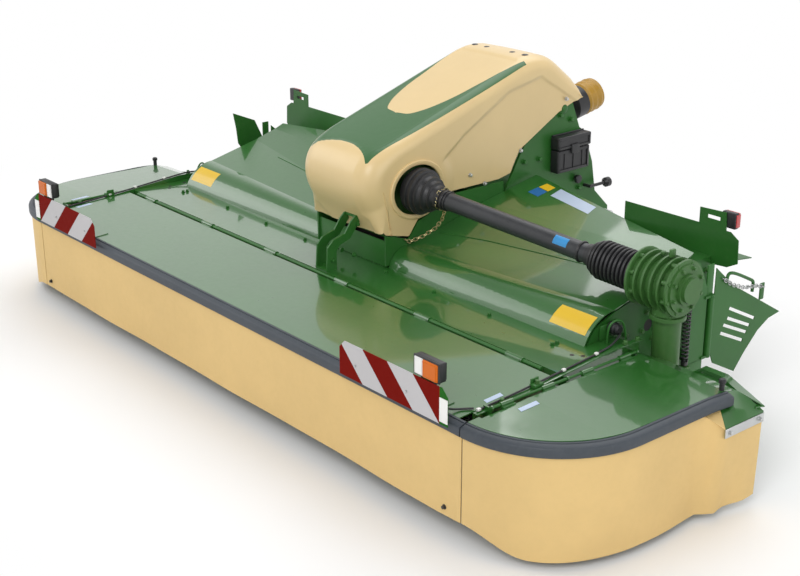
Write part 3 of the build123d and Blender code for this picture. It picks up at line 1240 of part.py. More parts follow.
def rear_lamp():
    """Rear lamp at the back of its plate."""
    half = REAR_LAMP / 2
    y0 = LAMP_PLATE_Y + SHEET
    y1 = y0 + REAR_LAMP_DEPTH
    return box(REAR_LAMP_X - half, REAR_LAMP_X + half, y0, y1, REAR_LAMP_Z, REAR_LAMP_Z + REAR_LAMP)


def all_pieces():
    """Every node of the machine, by name."""
    pieces = {
        "front_panel": front_panel(),
        "front_bumper": front_bumper(),
        "front_skirt": front_skirt(),
        "hinge_rods": hinge_rods(),
        "warning_boards": warning_boards(),
        "front_lamps": front_lamps(),
        "deck": deck(),
        "main_beam": main_beam(),
        "rear_deflector": rear_deflector(),
        "carrier": carrier(),
        "front_strut": front_strut(),
        "cutterbar": cutterbar(),
        "skid_shoes": skid_shoes(),
        "lower_roller": roller(LOWER_ROLLER_Y, LOWER_ROLLER_Z),
        "upper_roller": roller(UPPER_ROLLER_Y, UPPER_ROLLER_Z),
        "centre_gearbox": centre_gearbox(),
        "guard_bell": guard_bell(),
        "guard_tube": guard_tube(),
        "bellows": bellows(),
        "side_gearbox": side_gearbox(),
        "drive_column": drive_column(),
        "lower_gearbox": lower_gearbox(),
        "tension_spring": tension_spring(),
        "input_guard": input_guard(),
        "input_bell": input_bell(),
        "input_yoke": input_yoke(),
        "cowl": cowl(),
        "head_top_tube": head_top_tube(),
        "head_low_tube": head_low_tube(),
        "lower_link_pins": lower_link_pins(),
        "document_box": document_box(),
        "hand_lever": hand_lever(),
    }
    for index in range(ROTOR_COUNT):
        pieces[f"rotor_{index + 1}"] = rotor(index)
    # on both sides: the name and the piece on the machine's left
    paired = {
        "side_panel": side_panel(),
        "side_bumper": side_bumper(),
        "side_skirt": side_skirt(),
        "hood": hood(),
        "end_plate": end_plate(),
        "head_plate": head_plate(),
        "parking_stand": parking_stand(),
        "swath_board": swath_board(),
    }
    for name, piece in paired.items():
        pieces[f"{name}_left"] = piece
        pieces[f"{name}_right"] = other_side(piece)
    pieces["swath_posts"] = Compound([swath_post() + spring_bracket(), other_side(swath_post())])
    shared = {
        "hinge_rails": hinge_rail(),
        "lamp_plates": lamp_plate(),
        "rear_lamps": rear_lamp(),
    }
    for name, piece in shared.items():
        pieces[name] = Compound([piece, other_side(piece)])
    return pieces


def main():
    """Write one STEP file per node."""
    os.makedirs("parts", exist_ok=True)
    for name, piece in all_pieces().items():
        export_step(Pos(0, FRONT, 0) * piece, f"parts/{name}.step")


if __name__ == "__main__":
    main()
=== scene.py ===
"""Dresses a front-mounted disc mower: finishes, fittings, fasteners, skirts, stage and camera.

Places are written in millimetres: across from the middle, back from the front edge, up from the ground.
"""

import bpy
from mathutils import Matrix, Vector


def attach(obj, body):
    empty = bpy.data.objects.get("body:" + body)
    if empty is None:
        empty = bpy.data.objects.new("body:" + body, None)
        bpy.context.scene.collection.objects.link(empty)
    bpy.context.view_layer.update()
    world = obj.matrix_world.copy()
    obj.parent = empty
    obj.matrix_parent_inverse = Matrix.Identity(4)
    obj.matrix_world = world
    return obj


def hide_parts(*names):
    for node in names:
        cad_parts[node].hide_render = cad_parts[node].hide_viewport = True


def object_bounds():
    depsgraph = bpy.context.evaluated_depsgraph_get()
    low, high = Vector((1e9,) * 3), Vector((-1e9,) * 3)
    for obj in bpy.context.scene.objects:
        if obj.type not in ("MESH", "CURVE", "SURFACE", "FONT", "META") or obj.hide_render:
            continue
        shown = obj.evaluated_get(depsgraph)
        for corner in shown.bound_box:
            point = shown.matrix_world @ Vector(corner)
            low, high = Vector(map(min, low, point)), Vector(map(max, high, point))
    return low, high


bl_info = {
    "name": "Front disc mower finish",
    "version": (1, 0, 0),
    "blender": (4, 5, 0),
    "location": "3D View > Sidebar > Mower",
    "description": "Finishes and small fittings for a front disc mower",
    "category": "Object",
}

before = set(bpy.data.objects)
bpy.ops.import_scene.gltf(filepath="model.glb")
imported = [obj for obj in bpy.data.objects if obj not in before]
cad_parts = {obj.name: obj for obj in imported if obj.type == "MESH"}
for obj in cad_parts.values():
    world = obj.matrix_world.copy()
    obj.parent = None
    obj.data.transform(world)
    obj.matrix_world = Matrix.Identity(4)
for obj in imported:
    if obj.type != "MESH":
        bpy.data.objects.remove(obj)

import math

import bpy
from bpy.props import FloatProperty, FloatVectorProperty, IntProperty, PointerProperty
from mathutils import Matrix, Vector

cad_box = [list(corner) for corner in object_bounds()]
FRONT_EDGE = cad_box[0][1]


# Places and selection

def at(x, y, z):
    """A place in metres from millimetres across, back and up."""
    return Vector((x / 1000, y / 1000 + FRONT_EDGE, z / 1000))


def on_side(side, places):
    """Places given for the left side, on the side that 1 or -1 names."""
    return [(side * x, *rest) for x, *rest in places]


def angles(count, start=0.0):
    """Even turns round a circle, from a share of one step on."""
    return [2 * math.pi * (k + start) / count for k in range(count)]


def around(middle, radius, turn):
    """A place on a circle in a plane."""
    return middle[0] + radius * math.cos(turn), middle[1] + radius * math.sin(turn)


def ease(value):
    """0 to 1 with soft ends."""
    value = min(1.0, max(0.0, value))
    return value * value * (3 - 2 * value)


def bulge(value, middle, width):
    """1 at the middle, falling to 0 on both sides."""
    return math.exp(-((value - middle) / width) ** 2)


def clear_selection():
    """Nothing stays selected."""
    bpy.ops.object.select_all(action="DESELECT")


def pick(piece):
    """Only this piece is selected and active."""
    clear_selection()
    piece.select_set(True)
    bpy.context.view_layer.objects.active = piece


def settle(piece):
    """The piece's place goes into its mesh."""
    pick(piece)
    bpy.ops.object.transform_apply(location=True, rotation=True, scale=True)


def smooth(piece, degrees=35.0):
    """Round faces shade smoothly, edges stay crisp."""
    pick(piece)
    bpy.ops.object.shade_smooth_by_angle(angle=math.radians(degrees))


def soften(piece, width, segments=2):
    """Round a piece's edges, width in metres."""
    pick(piece)
    bevel = piece.modifiers.new("edge", "BEVEL")
    bevel.width = width
    bevel.segments = segments
    bevel.limit_method = "ANGLE"
    bevel.angle_limit = math.radians(35)
    bpy.ops.object.modifier_apply(modifier=bevel.name)
    return piece


def choose_faces(piece, way):
    """In edit mode, select the faces that look one way."""
    pick(piece)
    bpy.ops.object.mode_set(mode="EDIT")
    bpy.ops.mesh.select_mode(type="FACE")
    bpy.ops.mesh.select_all(action="DESELECT")
    bpy.ops.object.mode_set(mode="OBJECT")
    for face in piece.data.polygons:
        face.select = face.normal.dot(way) > 0.9
    bpy.ops.object.mode_set(mode="EDIT")


def leave_edit():
    """Back to object mode."""
    bpy.ops.object.mode_set(mode="OBJECT")


def in_edit(piece, *steps):
    """Run steps in edit mode, each on the whole piece."""
    pick(piece)
    bpy.ops.object.mode_set(mode="EDIT")
    for step in steps:
        bpy.ops.mesh.select_all(action="SELECT")
        step()
    leave_edit()


def outward():
    """Turn the selected faces outwards."""
    bpy.ops.mesh.normals_make_consistent(inside=False)


def press(piece, way, margin, depth):
    """Inset the faces that look one way and push them that way, in millimetres."""
    way = Vector(way)
    choose_faces(piece, way)
    bpy.ops.mesh.inset(thickness=margin / 1000)
    bpy.ops.mesh.extrude_region_move(TRANSFORM_OT_translate={"value": way * depth / 1000})
    leave_edit()


def turn_to(direction):
    """The turn that takes +Z to a direction."""
    return Vector(direction).normalized().to_track_quat("Z", "Y").to_euler()


# Simple pieces, all in millimetres

def block(name, low, high, edge=1.5, segments=2):
    """A block with rounded edges between two corners."""
    clear_selection()
    a, b = at(*low), at(*high)
    bpy.ops.mesh.primitive_cube_add(size=1, location=(a + b) / 2, scale=[abs(v) for v in (b - a)])
    piece = bpy.context.object
    piece.name = name
    settle(piece)
    return soften(piece, edge / 1000, segments)


def side_block(name, side, low, high, edge=1.5, segments=2):
    """A block given for the left side, on the side that 1 or -1 names."""
    x0, x1 = sorted((side * low[0], side * high[0]))
    return block(name, (x0, *low[1:]), (x1, *high[1:]), edge, segments)


def rod(name, start, end, radius, sides=24, edge=0.0):
    """A round bar from one place to another."""
    clear_selection()
    a, b = at(*start), at(*end)
    bpy.ops.mesh.primitive_cylinder_add(vertices=sides, radius=radius / 1000, depth=(b - a).length,
                                        location=(a + b) / 2, rotation=turn_to(b - a))
    piece = bpy.context.object
    piece.name = name
    settle(piece)
    if edge:
        soften(piece, edge / 1000)
    return piece


def tube(name, points, radius, loops=8):
    """A bent round tube through control places, as a mesh."""
    clear_selection()
    curve = bpy.data.curves.new(name, "CURVE")
    curve.dimensions = "3D"
    spline = curve.splines.new("NURBS")
    spline.points.add(len(points) - 1)
    for point, place in zip(spline.points, points):
        point.co = (*at(*place), 1.0)
    spline.order_u = 3
    spline.use_endpoint_u = True
    spline.resolution_u = 6
    curve.bevel_depth = radius / 1000
    curve.bevel_resolution = loops // 2
    curve.use_fill_caps = True
    piece = bpy.data.objects.new(name, curve)
    bpy.context.scene.collection.objects.link(piece)
    pick(piece)
    bpy.ops.object.convert(target="MESH")
    piece = bpy.context.object
    settle(piece)
    return piece


def joined(name, pieces):
    """Several pieces as one."""
    clear_selection()
    for piece in pieces:
        piece.select_set(True)
    bpy.context.view_layer.objects.active = pieces[0]
    if len(pieces) > 1:
        bpy.ops.object.join()
    pieces[0].name = name
    return pieces[0]


def copied(piece, change):
    """A copy with its own mesh, moved by a matrix."""
    twin = piece.copy()
    twin.data = piece.data.copy()
    bpy.context.scene.collection.objects.link(twin)
    twin.data.transform(change)
    return twin


def other_side(piece):
    """A copy of a piece on the other side of the machine."""
    twin = copied(piece, Matrix.Scale(-1, 4, (1, 0, 0)))
    in_edit(twin, bpy.ops.mesh.flip_normals)
    return twin


def bolt_part(sides, radius, depth, height, edge, segments):
    """One turned part of a bolt head, in metres."""
    clear_selection()
    bpy.ops.mesh.primitive_cylinder_add(vertices=sides, radius=radius, depth=depth, location=(0, 0, height))
    part = bpy.context.object
    settle(part)
    return soften(part, edge, segments)


def bolt_master(size):
    """A hexagon bolt head on its washer, at the origin and along +Z, size in millimetres across its corners."""
    r = size / 2000
    head = bolt_part(6, r, 0.62 * r * 2, 0.9 * r, 0.09 * r, 2)
    washer = bolt_part(20, 1.35 * r, 0.3 * r, 0.13 * r, 0.05 * r, 1)
    return joined("bolt", [head, washer])


def dress(piece, body, slot, paint, *replaced):
    """Give a finished piece its finish and body; the slot it is given is not used."""
    smooth(piece)
    piece.data.materials.clear()
    piece.data.materials.append(finish(paint))
    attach(piece, body)
    if replaced:
        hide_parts(*replaced)
    return piece


def dress_pair(left, body, slot, paint, *replaced):
    """Dress a left piece and its twin on the right, each on its own side's body."""
    right = other_side(left)
    right.name = left.name.replace("_left", "_right")
    for piece, tag in ((left, "left"), (right, "right")):
        dress(piece, f"{body}_{tag}", slot, paint, *[f"{name}_{tag}" for name in replaced])


def fasteners(name, body, slot, paint, size, places):
    """Like bolts on one body. Each place is a point and the direction its head faces."""
    master = bolt_master(size)
    copies = []
    for point, direction in places:
        spot = Matrix.Translation(at(*point)) @ turn_to(direction).to_matrix().to_4x4()
        copies.append(copied(master, spot))
    bpy.data.objects.remove(master)
    return dress(joined(name, copies), body, slot, paint)


# Finishes

def feed(tree, socket, value):
    """Give an input a constant or another node's output."""
    if isinstance(value, bpy.types.NodeSocket):
        tree.links.new(value, socket)
    else:
        socket.default_value = value


def node(tree, kind, **values):
    """A shader node with some of its inputs or settings, laid out in rows of eight."""
    row, column = divmod(len(tree.nodes), 8)
    made = tree.nodes.new(kind)
    made.location = (240 * column - 2000, 900 - 300 * row)
    for key, value in values.items():
        if key in made.inputs:
            feed(tree, made.inputs[key], value)
        else:
            setattr(made, key, value)
    return made


def maths(tree, operation, *values):
    """A maths node on sockets or numbers."""
    made = node(tree, "ShaderNodeMath", operation=operation)
    for socket, value in zip(made.inputs, values):
        feed(tree, socket, value)
    return made.outputs["Value"]


def all_of(tree, tests):
    """A mask that is 1 where every test is."""
    mask = tests[0]
    for test in tests[1:]:
        mask = maths(tree, "MULTIPLY", mask, test)
    return mask


def map_range(tree, value, low, high, to_low=0.0, to_high=1.0, **settings):
    """A value's range mapped to another."""
    made = node(tree, "ShaderNodeMapRange", **settings)
    for key, number in (("From Min", low), ("From Max", high), ("To Min", to_low), ("To Max", to_high)):
        made.inputs[key].default_value = number
    tree.links.new(value, made.inputs["Value"])
    return made.outputs["Result"]


def curve_node(tree, value, low, high, points):
    """A smooth curve over a range, its points as shares of that range and their values."""
    made = node(tree, "ShaderNodeFloatCurve", Value=map_range(tree, value, low, high))
    line = made.mapping.curves[0]
    line.points[0].location = points[0]
    line.points[1].location = points[-1]
    for point in points[1:-1]:
        line.points.new(*point)
    made.mapping.update()
    return made.outputs["Value"]


def mix_colors(tree, mask, first, second):
    """First colour where the mask is 0, second where it is 1."""
    mixed = node(tree, "ShaderNodeMix", data_type="RGBA")
    tree.links.new(mask, mixed.inputs[0])
    feed(tree, mixed.inputs[6], first)
    feed(tree, mixed.inputs[7], second)
    return mixed.outputs[2]


def axes_of(tree):
    """Separate object coordinates."""
    places = node(tree, "ShaderNodeTexCoord").outputs["Object"]
    return node(tree, "ShaderNodeSeparateXYZ", Vector=places).outputs


def shade(color, factor):
    """A colour made lighter or darker."""
    return tuple(min(1.0, c * factor) for c in color[:3]) + (1.0,)


def base_finish(label, color, roughness, metallic=0.0, coat=0.0, coat_roughness=0.08, specular=0.5,
                vary=0.12, bump=0.0, bump_scale=120.0, dust=0.0, dust_color=(0.3, 0.27, 0.2, 1.0)):
    """A finish with cloudy colour, uneven gloss, fine relief and some dust."""
    material = bpy.data.materials.new(label)
    material.use_nodes = True
    tree = material.node_tree
    inputs = tree.nodes["Principled BSDF"].inputs
    for key, value in (("Metallic", metallic), ("Coat Weight", coat), ("Coat Roughness", coat_roughness),
                       ("Coat IOR", 1.6), ("Specular IOR Level", specular)):
        inputs[key].default_value = value
    places = node(tree, "ShaderNodeTexCoord").outputs["Object"]
    cloud = node(tree, "ShaderNodeTexNoise", Vector=places, Scale=3.0, Detail=4.0, Roughness=0.6)
    fine = node(tree, "ShaderNodeTexNoise", Vector=places, Scale=40.0, Detail=3.0, Roughness=0.55)
    ramp = node(tree, "ShaderNodeValToRGB", Fac=cloud.outputs["Fac"])
    for stop, position, factor in zip(ramp.color_ramp.elements, (0.3, 0.7), (1.0 - vary, 1.0 + vary)):
        stop.position = position
        stop.color = shade(color, factor)
    shown = ramp.outputs["Color"]
    if dust:
        settled = map_range(tree, fine.outputs["Fac"], 0.45, 0.75, to_high=dust)
        shown = mix_colors(tree, settled, shown, dust_color)
    tree.links.new(shown, inputs["Base Color"])
    gloss = map_range(tree, fine.outputs["Fac"], 0.0, 1.0, roughness * 0.8, min(1.0, roughness * 1.25))
    tree.links.new(gloss, inputs["Roughness"])
    if bump:
        relief = node(tree, "ShaderNodeTexNoise", Vector=places, Scale=bump_scale, Detail=2.0)
        lift = node(tree, "ShaderNodeBump", Distance=0.001, Strength=bump, Height=relief.outputs["Fac"])
        tree.links.new(lift.outputs["Normal"], inputs["Normal"])
    return material


def colors():
    """The colours that a user can change."""
    return bpy.context.scene.mower_colors


# decor band on the cowl: its span from front to rear, and lines of (share of that span, half width in metres)
BAND_FROM, BAND_TO = 600.0, 1700.0
BAND_OUTER = [(0.0, 0.185), (0.15, 0.205), (0.35, 0.222), (0.6, 0.231), (1.0, 0.234)]
BAND_INNER = [(0.0, 0.0), (0.425, 0.0), (0.437, 0.066), (0.47, 0.102), (0.57, 0.15), (0.75, 0.185),
              (1.0, 0.219)]
# its front edge is a bow: back from the front edge at the middle, and metres forward by half width squared
BROW_BACK, BROW_BOW = 790.0, 1.5
# the cowl's upper face, in metres: its height at a distance back, its slope, and how far below it the band ends
FACE_HEIGHT, FACE_BACK, FACE_SLOPE, BAND_DEPTH = 1.044, 0.8, 0.3326, 0.028
# the band's rear end, in metres back from the front edge
BAND_CREST = 1.67


def decor_band(tree, before):
    """Green band round a beige oval on the cowl's upper face."""
    x, y, z = axes_of(tree)
    across = maths(tree, "ABSOLUTE", x)
    outer, inner = [curve_node(tree, y, FRONT_EDGE + BAND_FROM / 1000, FRONT_EDGE + BAND_TO / 1000, line)
                    for line in (BAND_OUTER, BAND_INNER)]
    bow = maths(tree, "MULTIPLY", maths(tree, "MULTIPLY", across, across), -BROW_BOW)
    brow = maths(tree, "ADD", bow, FRONT_EDGE + BROW_BACK / 1000)
    level = maths(tree, "SUBTRACT", z, maths(tree, "MULTIPLY", y, FACE_SLOPE))
    lowest = FACE_HEIGHT - FACE_SLOPE * (FRONT_EDGE + FACE_BACK) - BAND_DEPTH
    mask = all_of(tree, [
        maths(tree, "LESS_THAN", across, outer), maths(tree, "GREATER_THAN", across, inner),
        maths(tree, "GREATER_THAN", y, brow), maths(tree, "GREATER_THAN", level, lowest),
        maths(tree, "LESS_THAN", y, FRONT_EDGE + BAND_CREST)])
    return mix_colors(tree, mask, before, colors().band)


# warning boards, in metres: one red and one white stripe, where a stripe starts, and the board's outer end
STRIPE_PERIOD = 0.283
STRIPE_START = 1.835 - 2 * STRIPE_PERIOD
BOARD_END = 1.507


def hazard_stripes(tree, before):
    """Red and white stripes that slope outwards and down, up to each board's green bracket."""
    x, y, z = axes_of(tree)
    across = maths(tree, "ABSOLUTE", x)
    lean = maths(tree, "SUBTRACT", maths(tree, "ADD", across, z), STRIPE_START)
    wave = maths(tree, "FRACT", maths(tree, "MULTIPLY", lean, 1.0 / STRIPE_PERIOD))
    mask = all_of(tree, [maths(tree, "GREATER_THAN", wave, 0.5), maths(tree, "LESS_THAN", across, BOARD_END)])
    striped = mix_colors(tree, mask, before, colors().stripe)
    return mix_colors(tree, maths(tree, "GREATER_THAN", across, BOARD_END), striped, colors().green)


# each finish: its label, its colour or the name of a user's colour, its roughness, and what else differs
FINISHES = {
    "green": ("green paint", "green", 0.3,
              dict(coat=1.0, coat_roughness=0.05, vary=0.07, bump=0.02, bump_scale=9.0)),
    "green casting": ("painted casting", "casting", 0.45,
                      dict(coat=0.15, coat_roughness=0.3, specular=0.35, bump=0.3, bump_scale=260.0,
                           dust=0.04)),
    "dark green": ("green frame paint", "green", 0.42,
                   dict(coat=0.12, coat_roughness=0.2, specular=0.3, vary=0.1, bump=0.03, bump_scale=90.0,
                        dust=0.02)),
    "skirt": ("coated skirt cloth", "skirt", 0.62,
              dict(specular=0.35, vary=0.045, bump=0.18, bump_scale=480.0, dust=0.05,
                   dust_color=(0.45, 0.36, 0.2, 1.0))),
    "moulding": ("beige moulding", "moulding", 0.36,
                 dict(coat=0.2, coat_roughness=0.2, vary=0.03, bump=0.05, bump_scale=300.0)),
    "bumper": ("bumper rubber", "bumper", 0.5,
               dict(specular=0.45, bump=0.14, bump_scale=340.0, dust=0.1, dust_color=(0.16, 0.17, 0.18, 1.0))),
    "black": ("black moulding", (0.016, 0.016, 0.018, 1.0), 0.42,
              dict(vary=0.3, bump=0.1, bump_scale=500.0, dust=0.08, dust_color=(0.08, 0.08, 0.08, 1.0))),
    "tube": ("black guard tube", (0.03, 0.032, 0.036, 1.0), 0.38,
             dict(vary=0.2, bump=0.05, bump_scale=420.0, dust=0.08, dust_color=(0.1, 0.1, 0.1, 1.0))),
    "yellow": ("gold moulding", "yellow", 0.4, dict(vary=0.1, bump=0.06, bump_scale=260.0, dust=0.05)),
    "steel": ("zinc plated steel", (0.55, 0.56, 0.56, 1.0), 0.34,
              dict(metallic=1.0, bump=0.05, bump_scale=600.0)),
    "chain": ("yellow zinc chain", (0.5, 0.42, 0.22, 1.0), 0.38, dict(metallic=1.0, vary=0.2, bump=0.05)),
    "dark steel": ("worn dark steel", (0.06, 0.06, 0.065, 1.0), 0.42,
                   dict(metallic=0.7, vary=0.35, bump=0.25, dust=0.2)),
    "rubber": ("roller rubber", (0.022, 0.022, 0.022, 1.0), 0.7,
               dict(vary=0.2, bump=0.3, bump_scale=240.0, dust=0.15, dust_color=(0.1, 0.09, 0.07, 1.0))),
    "board": ("reflective sheet", (0.52, 0.51, 0.52, 1.0), 0.55,
              dict(specular=0.02, vary=0.04, bump=0.05, bump_scale=900.0)),
    "amber": ("amber lens", (0.6, 0.13, 0.004, 1.0), 0.3,
              dict(coat=0.1, specular=0.2, bump=0.4, bump_scale=700.0)),
    "red": ("red lens", (0.5, 0.012, 0.015, 1.0), 0.14, dict(coat=0.8, vary=0.06, bump=0.4, bump_scale=700.0)),
    "white": ("white lens", (0.8, 0.8, 0.78, 1.0), 0.2, dict(coat=0.5, vary=0.03, bump=0.2, bump_scale=700.0)),
    "yellow plate": ("yellow plate", (0.78, 0.5, 0.015, 1.0), 0.35, dict(coat=0.3, vary=0.04, bump=0.02)),
    "pale plate": ("pale blue plate", (0.45, 0.55, 0.72, 1.0), 0.35, dict(coat=0.3, vary=0.05, bump=0.02)),
    "blue plate": ("blue plate", (0.02, 0.14, 0.42, 1.0), 0.35, dict(coat=0.3, vary=0.05, bump=0.02)),
    "sky plate": ("light blue plate", (0.03, 0.27, 0.6, 1.0), 0.4, dict(coat=0.1, vary=0.05, bump=0.02)),
}
PATTERNS = {"moulding": decor_band, "board": hazard_stripes}
_made = {}


def finish(name):
    """A finish by its name, made once."""
    if name in _made:
        return _made[name]
    label, color, roughness, others = FINISHES[name]
    if isinstance(color, str):
        color = getattr(colors(), color)
    made = base_finish(label, color, roughness, **others)
    if name in PATTERNS:
        tree = made.node_tree
        shown = tree.nodes["Principled BSDF"].inputs["Base Color"]
        tree.links.new(PATTERNS[name](tree, shown.links[0].from_socket), shown)
    _made[name] = made
    return made


# kept nodes that wear each finish, by the start of their names
NODE_FINISH = {
    "green": ("front_panel", "deck", "hood", "side_panel", "hinge_rails"),
    "dark green": ("main_beam", "rear_deflector", "carrier", "front_strut", "end_plate", "head_plate",
                   "head_top", "head_low", "parking_stand", "swath", "lamp_plates", "hinge_rods"),
    "green casting": ("cutterbar", "centre_gearbox", "side_gearbox", "drive_column", "lower_gearbox"),
    "bumper": ("front_bumper", "side_bumper"),
    "skirt": ("front_skirt", "side_skirt"),
    "moulding": ("cowl",),
    "board": ("warning_boards",),
    "amber": ("front_lamps",),
    "red": ("rear_lamps",),
    "black": ("guard_bell", "bellows", "input_guard", "document_box", "hand_lever"),
    "tube": ("guard_tube",),
    "yellow": ("input_bell",),
    "steel": ("input_yoke", "lower_link_pins", "tension_spring"),
    "dark steel": ("skid_shoes", "rotor"),
    "rubber": ("lower_roller", "upper_roller"),
}


class MowerColors(bpy.types.PropertyGroup):
    """Colours that a user would change."""
    green: FloatVectorProperty(name="Green paint", description="Colour of the sheet panels", subtype="COLOR",
                               size=4, min=0, max=1, default=(0.022, 0.125, 0.018, 1.0))
    casting: FloatVectorProperty(name="Casting paint", description="Colour of the painted castings",
                                 subtype="COLOR", size=4, min=0, max=1, default=(0.045, 0.14, 0.03, 1.0))
    skirt: FloatVectorProperty(name="Skirt", description="Colour of the coated cloth skirts", subtype="COLOR",
                               size=4, min=0, max=1, default=(0.71, 0.5, 0.21, 1.0))
    moulding: FloatVectorProperty(name="Cowl", description="Colour of the moulded cowl", subtype="COLOR",
                                  size=4, min=0, max=1, default=(0.75, 0.56, 0.28, 1.0))
    band: FloatVectorProperty(name="Decor band", description="Colour of the band on the cowl", subtype="COLOR",
                              size=4, min=0, max=1, default=(0.045, 0.14, 0.045, 1.0))
    bumper: FloatVectorProperty(name="Bumper", description="Colour of the rubber bumper", subtype="COLOR",
                                size=4, min=0, max=1, default=(0.045, 0.055, 0.068, 1.0))
    yellow: FloatVectorProperty(name="Shaft bell", description="Colour of the bell on the shaft's guard",
                                subtype="COLOR", size=4, min=0, max=1, default=(0.42, 0.23, 0.02, 1.0))
    stripe: FloatVectorProperty(name="Stripes", description="Colour of the boards' stripes", subtype="COLOR",
                                size=4, min=0, max=1, default=(0.17, 0.007, 0.004, 1.0))


class MowerSizes(bpy.types.PropertyGroup):
    """Sizes that a user would change."""
    skirt_wave: FloatProperty(name="Skirt wave", description="How far the skirts' lower edge waves",
                              unit="LENGTH", default=0.007, min=0.0, max=0.02)
    spring_turns: IntProperty(name="Spring turns", description="Turns of the suspension spring",
                              default=15, min=6, max=30)
    cover_bolts: IntProperty(name="Cover bolts", description="Bolts round the side gearbox's cover",
                             default=8, min=4, max=12)


class MOWER_OT_finishes(bpy.types.Operator):
    """Give every kept node its finish"""
    bl_idname = "mower.finishes"
    bl_label = "Finishes"

    def execute(self, context):
        for name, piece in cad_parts.items():
            found = [paint for paint, starts in NODE_FINISH.items() if name.startswith(starts)]
            if not found:
                raise RuntimeError(f"{name} has no finish")
            piece.data.materials.clear()
            piece.data.materials.append(finish(found[0]))
        return {"FINISHED"}


# Shells, strips and plates that follow a shape

def shell(name, rows, ring=True, caps=True):
    """A skin through rows of places in metres, each row closed on itself if ring is true."""
    clear_selection()
    across, along = len(rows[0]), len(rows)
    gaps = across if ring else across - 1
    bpy.ops.mesh.primitive_grid_add(x_subdivisions=gaps, y_subdivisions=along - 1, size=1)
    piece = bpy.context.object
    piece.name = name
    for index, vertex in enumerate(piece.data.vertices):
        row, column = divmod(index, gaps + 1)
        vertex.co = rows[row][column % across]
    piece.data.update()
    steps = []
    if ring:
        steps.append(lambda: bpy.ops.mesh.remove_doubles(threshold=0.00002))
        if caps:
            steps.append(lambda: bpy.ops.mesh.fill_holes(sides=0))
        steps.append(outward)
    in_edit(piece, *steps)
    return piece


def thicken(piece, thickness, offset=0.0):
    """Give a skin a thickness, in millimetres."""
    pick(piece)
    wall = piece.modifiers.new("wall", "SOLIDIFY")
    wall.thickness = thickness / 1000
    wall.offset = offset
    bpy.ops.object.modifier_apply(modifier=wall.name)
    return piece


def turned(name, start, end, profile, sides=48):
    """A turned shell along an axis, from a profile of distance along and radius, both in millimetres."""
    a, b = at(*start), at(*end)
    along = (b - a).normalized()
    side = along.orthogonal().normalized()
    up = along.cross(side)
    rows = []
    for distance, radius in profile:
        middle = a + along * distance / 1000
        rows.append([middle + (side * math.cos(t) + up * math.sin(t)) * radius / 1000 for t in angles(sides)])
    return shell(name, rows)


def link(name, middle, direction, roll, length, wire):
    """One chain link round a place, along a direction, in millimetres."""
    clear_selection()
    bpy.ops.mesh.primitive_torus_add(major_segments=16, minor_segments=6, major_radius=length / 3000,
                                     minor_radius=wire / 2000, location=(0, 0, 0))
    piece = bpy.context.object
    piece.name = name
    for vertex in piece.data.vertices:
        vertex.co.x += math.copysign(length / 6000, vertex.co.x)
    turn = Vector(direction).normalized().to_track_quat("X", "Z").to_matrix().to_4x4()
    piece.data.transform(Matrix.Translation(at(*middle)) @ turn @ Matrix.Rotation(roll, 4, "X"))
    return piece


# distance from one link of a chain to the next, as a share of its length
LINK_PITCH = 0.74


def chain(name, points, length=22.0, wire=4.5):
    """Links along a line of places."""
    links = []
    gone = 0.0
    for start, end in zip(points, points[1:]):
        a, b = Vector(start), Vector(end)
        run = (b - a).length
        while gone < run:
            spot = a.lerp(b, gone / run)
            links.append(link(name, spot, b - a, math.pi / 2 * (len(links) % 2), length, wire))
            gone += length * LINK_PITCH
        gone -= run
    return joined(name, links)


def plate_on(name, target, corners, body, paint):
    """A thin plate laid on a node from above. Corners are across and back, in order round it."""
    a, b, c, d = [Vector(p) for p in corners]
    above, steps = 1300, 12
    rows = []
    for i in range(steps + 1):
        left, right = a.lerp(d, i / steps), b.lerp(c, i / steps)
        rows.append([at(*left.lerp(right, k / steps), above) for k in range(steps + 1)])
    piece = shell(name, rows, ring=False)
    wrap = piece.modifiers.new("lay", "SHRINKWRAP")
    wrap.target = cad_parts[target]
    wrap.wrap_method = "PROJECT"
    wrap.use_project_z = True
    wrap.use_negative_direction = True
    wrap.use_positive_direction = False
    wrap.offset = 0.0004
    pick(piece)
    bpy.ops.object.modifier_apply(modifier=wrap.name)
    thicken(piece, 0.8, 1.0)
    in_edit(piece, outward)
    return dress(piece, body, "green_paint", paint)


# Bumpers, skirts and corners

# plan line of the side guards' edge: its corner and where its straight stretch ends
CORNER_MIDDLE = (1593.0, 467.0)
CORNER_RADIUS = 442.0
STRAIGHT_END_Y = 965.0
# half length of the front guard's bumper and skirt
FRONT_HALF = 1581.0


def edge_stations(inset, end_y, steps=22):
    """Places and outward directions along a side guard's edge, a distance inside its outer face."""
    radius = CORNER_RADIUS - inset
    x, y = CORNER_MIDDLE[0] + radius, CORNER_MIDDLE[1]
    stations = [((1587.0, y - radius), (0.0, -1.0))]
    for k in range(steps + 1):
        turn = math.radians(-90 + 90 * k / steps)
        stations.append((around(CORNER_MIDDLE, radius, turn), (math.cos(turn), math.sin(turn))))
    count = max(2, int((end_y - y) / 30))
    for k in range(1, count + 1):
        stations.append(((x, y + (end_y - y) * k / count), (1.0, 0.0)))
    return stations


# bumper section: (distance out from its back, height), with a groove near its inner edge
BUMPER_SECTION = [(0, 0), (31, 0), (35, 3), (36, 8), (36, 32), (34.5, 37), (31, 40), (13, 47), (12, 44.5),
                  (10, 44.5), (9, 50), (0, 50)]
# height of its lower face, and its depth from back to front
BUMPER_LOW, BUMPER_DEPTH = 437.0, 36.0


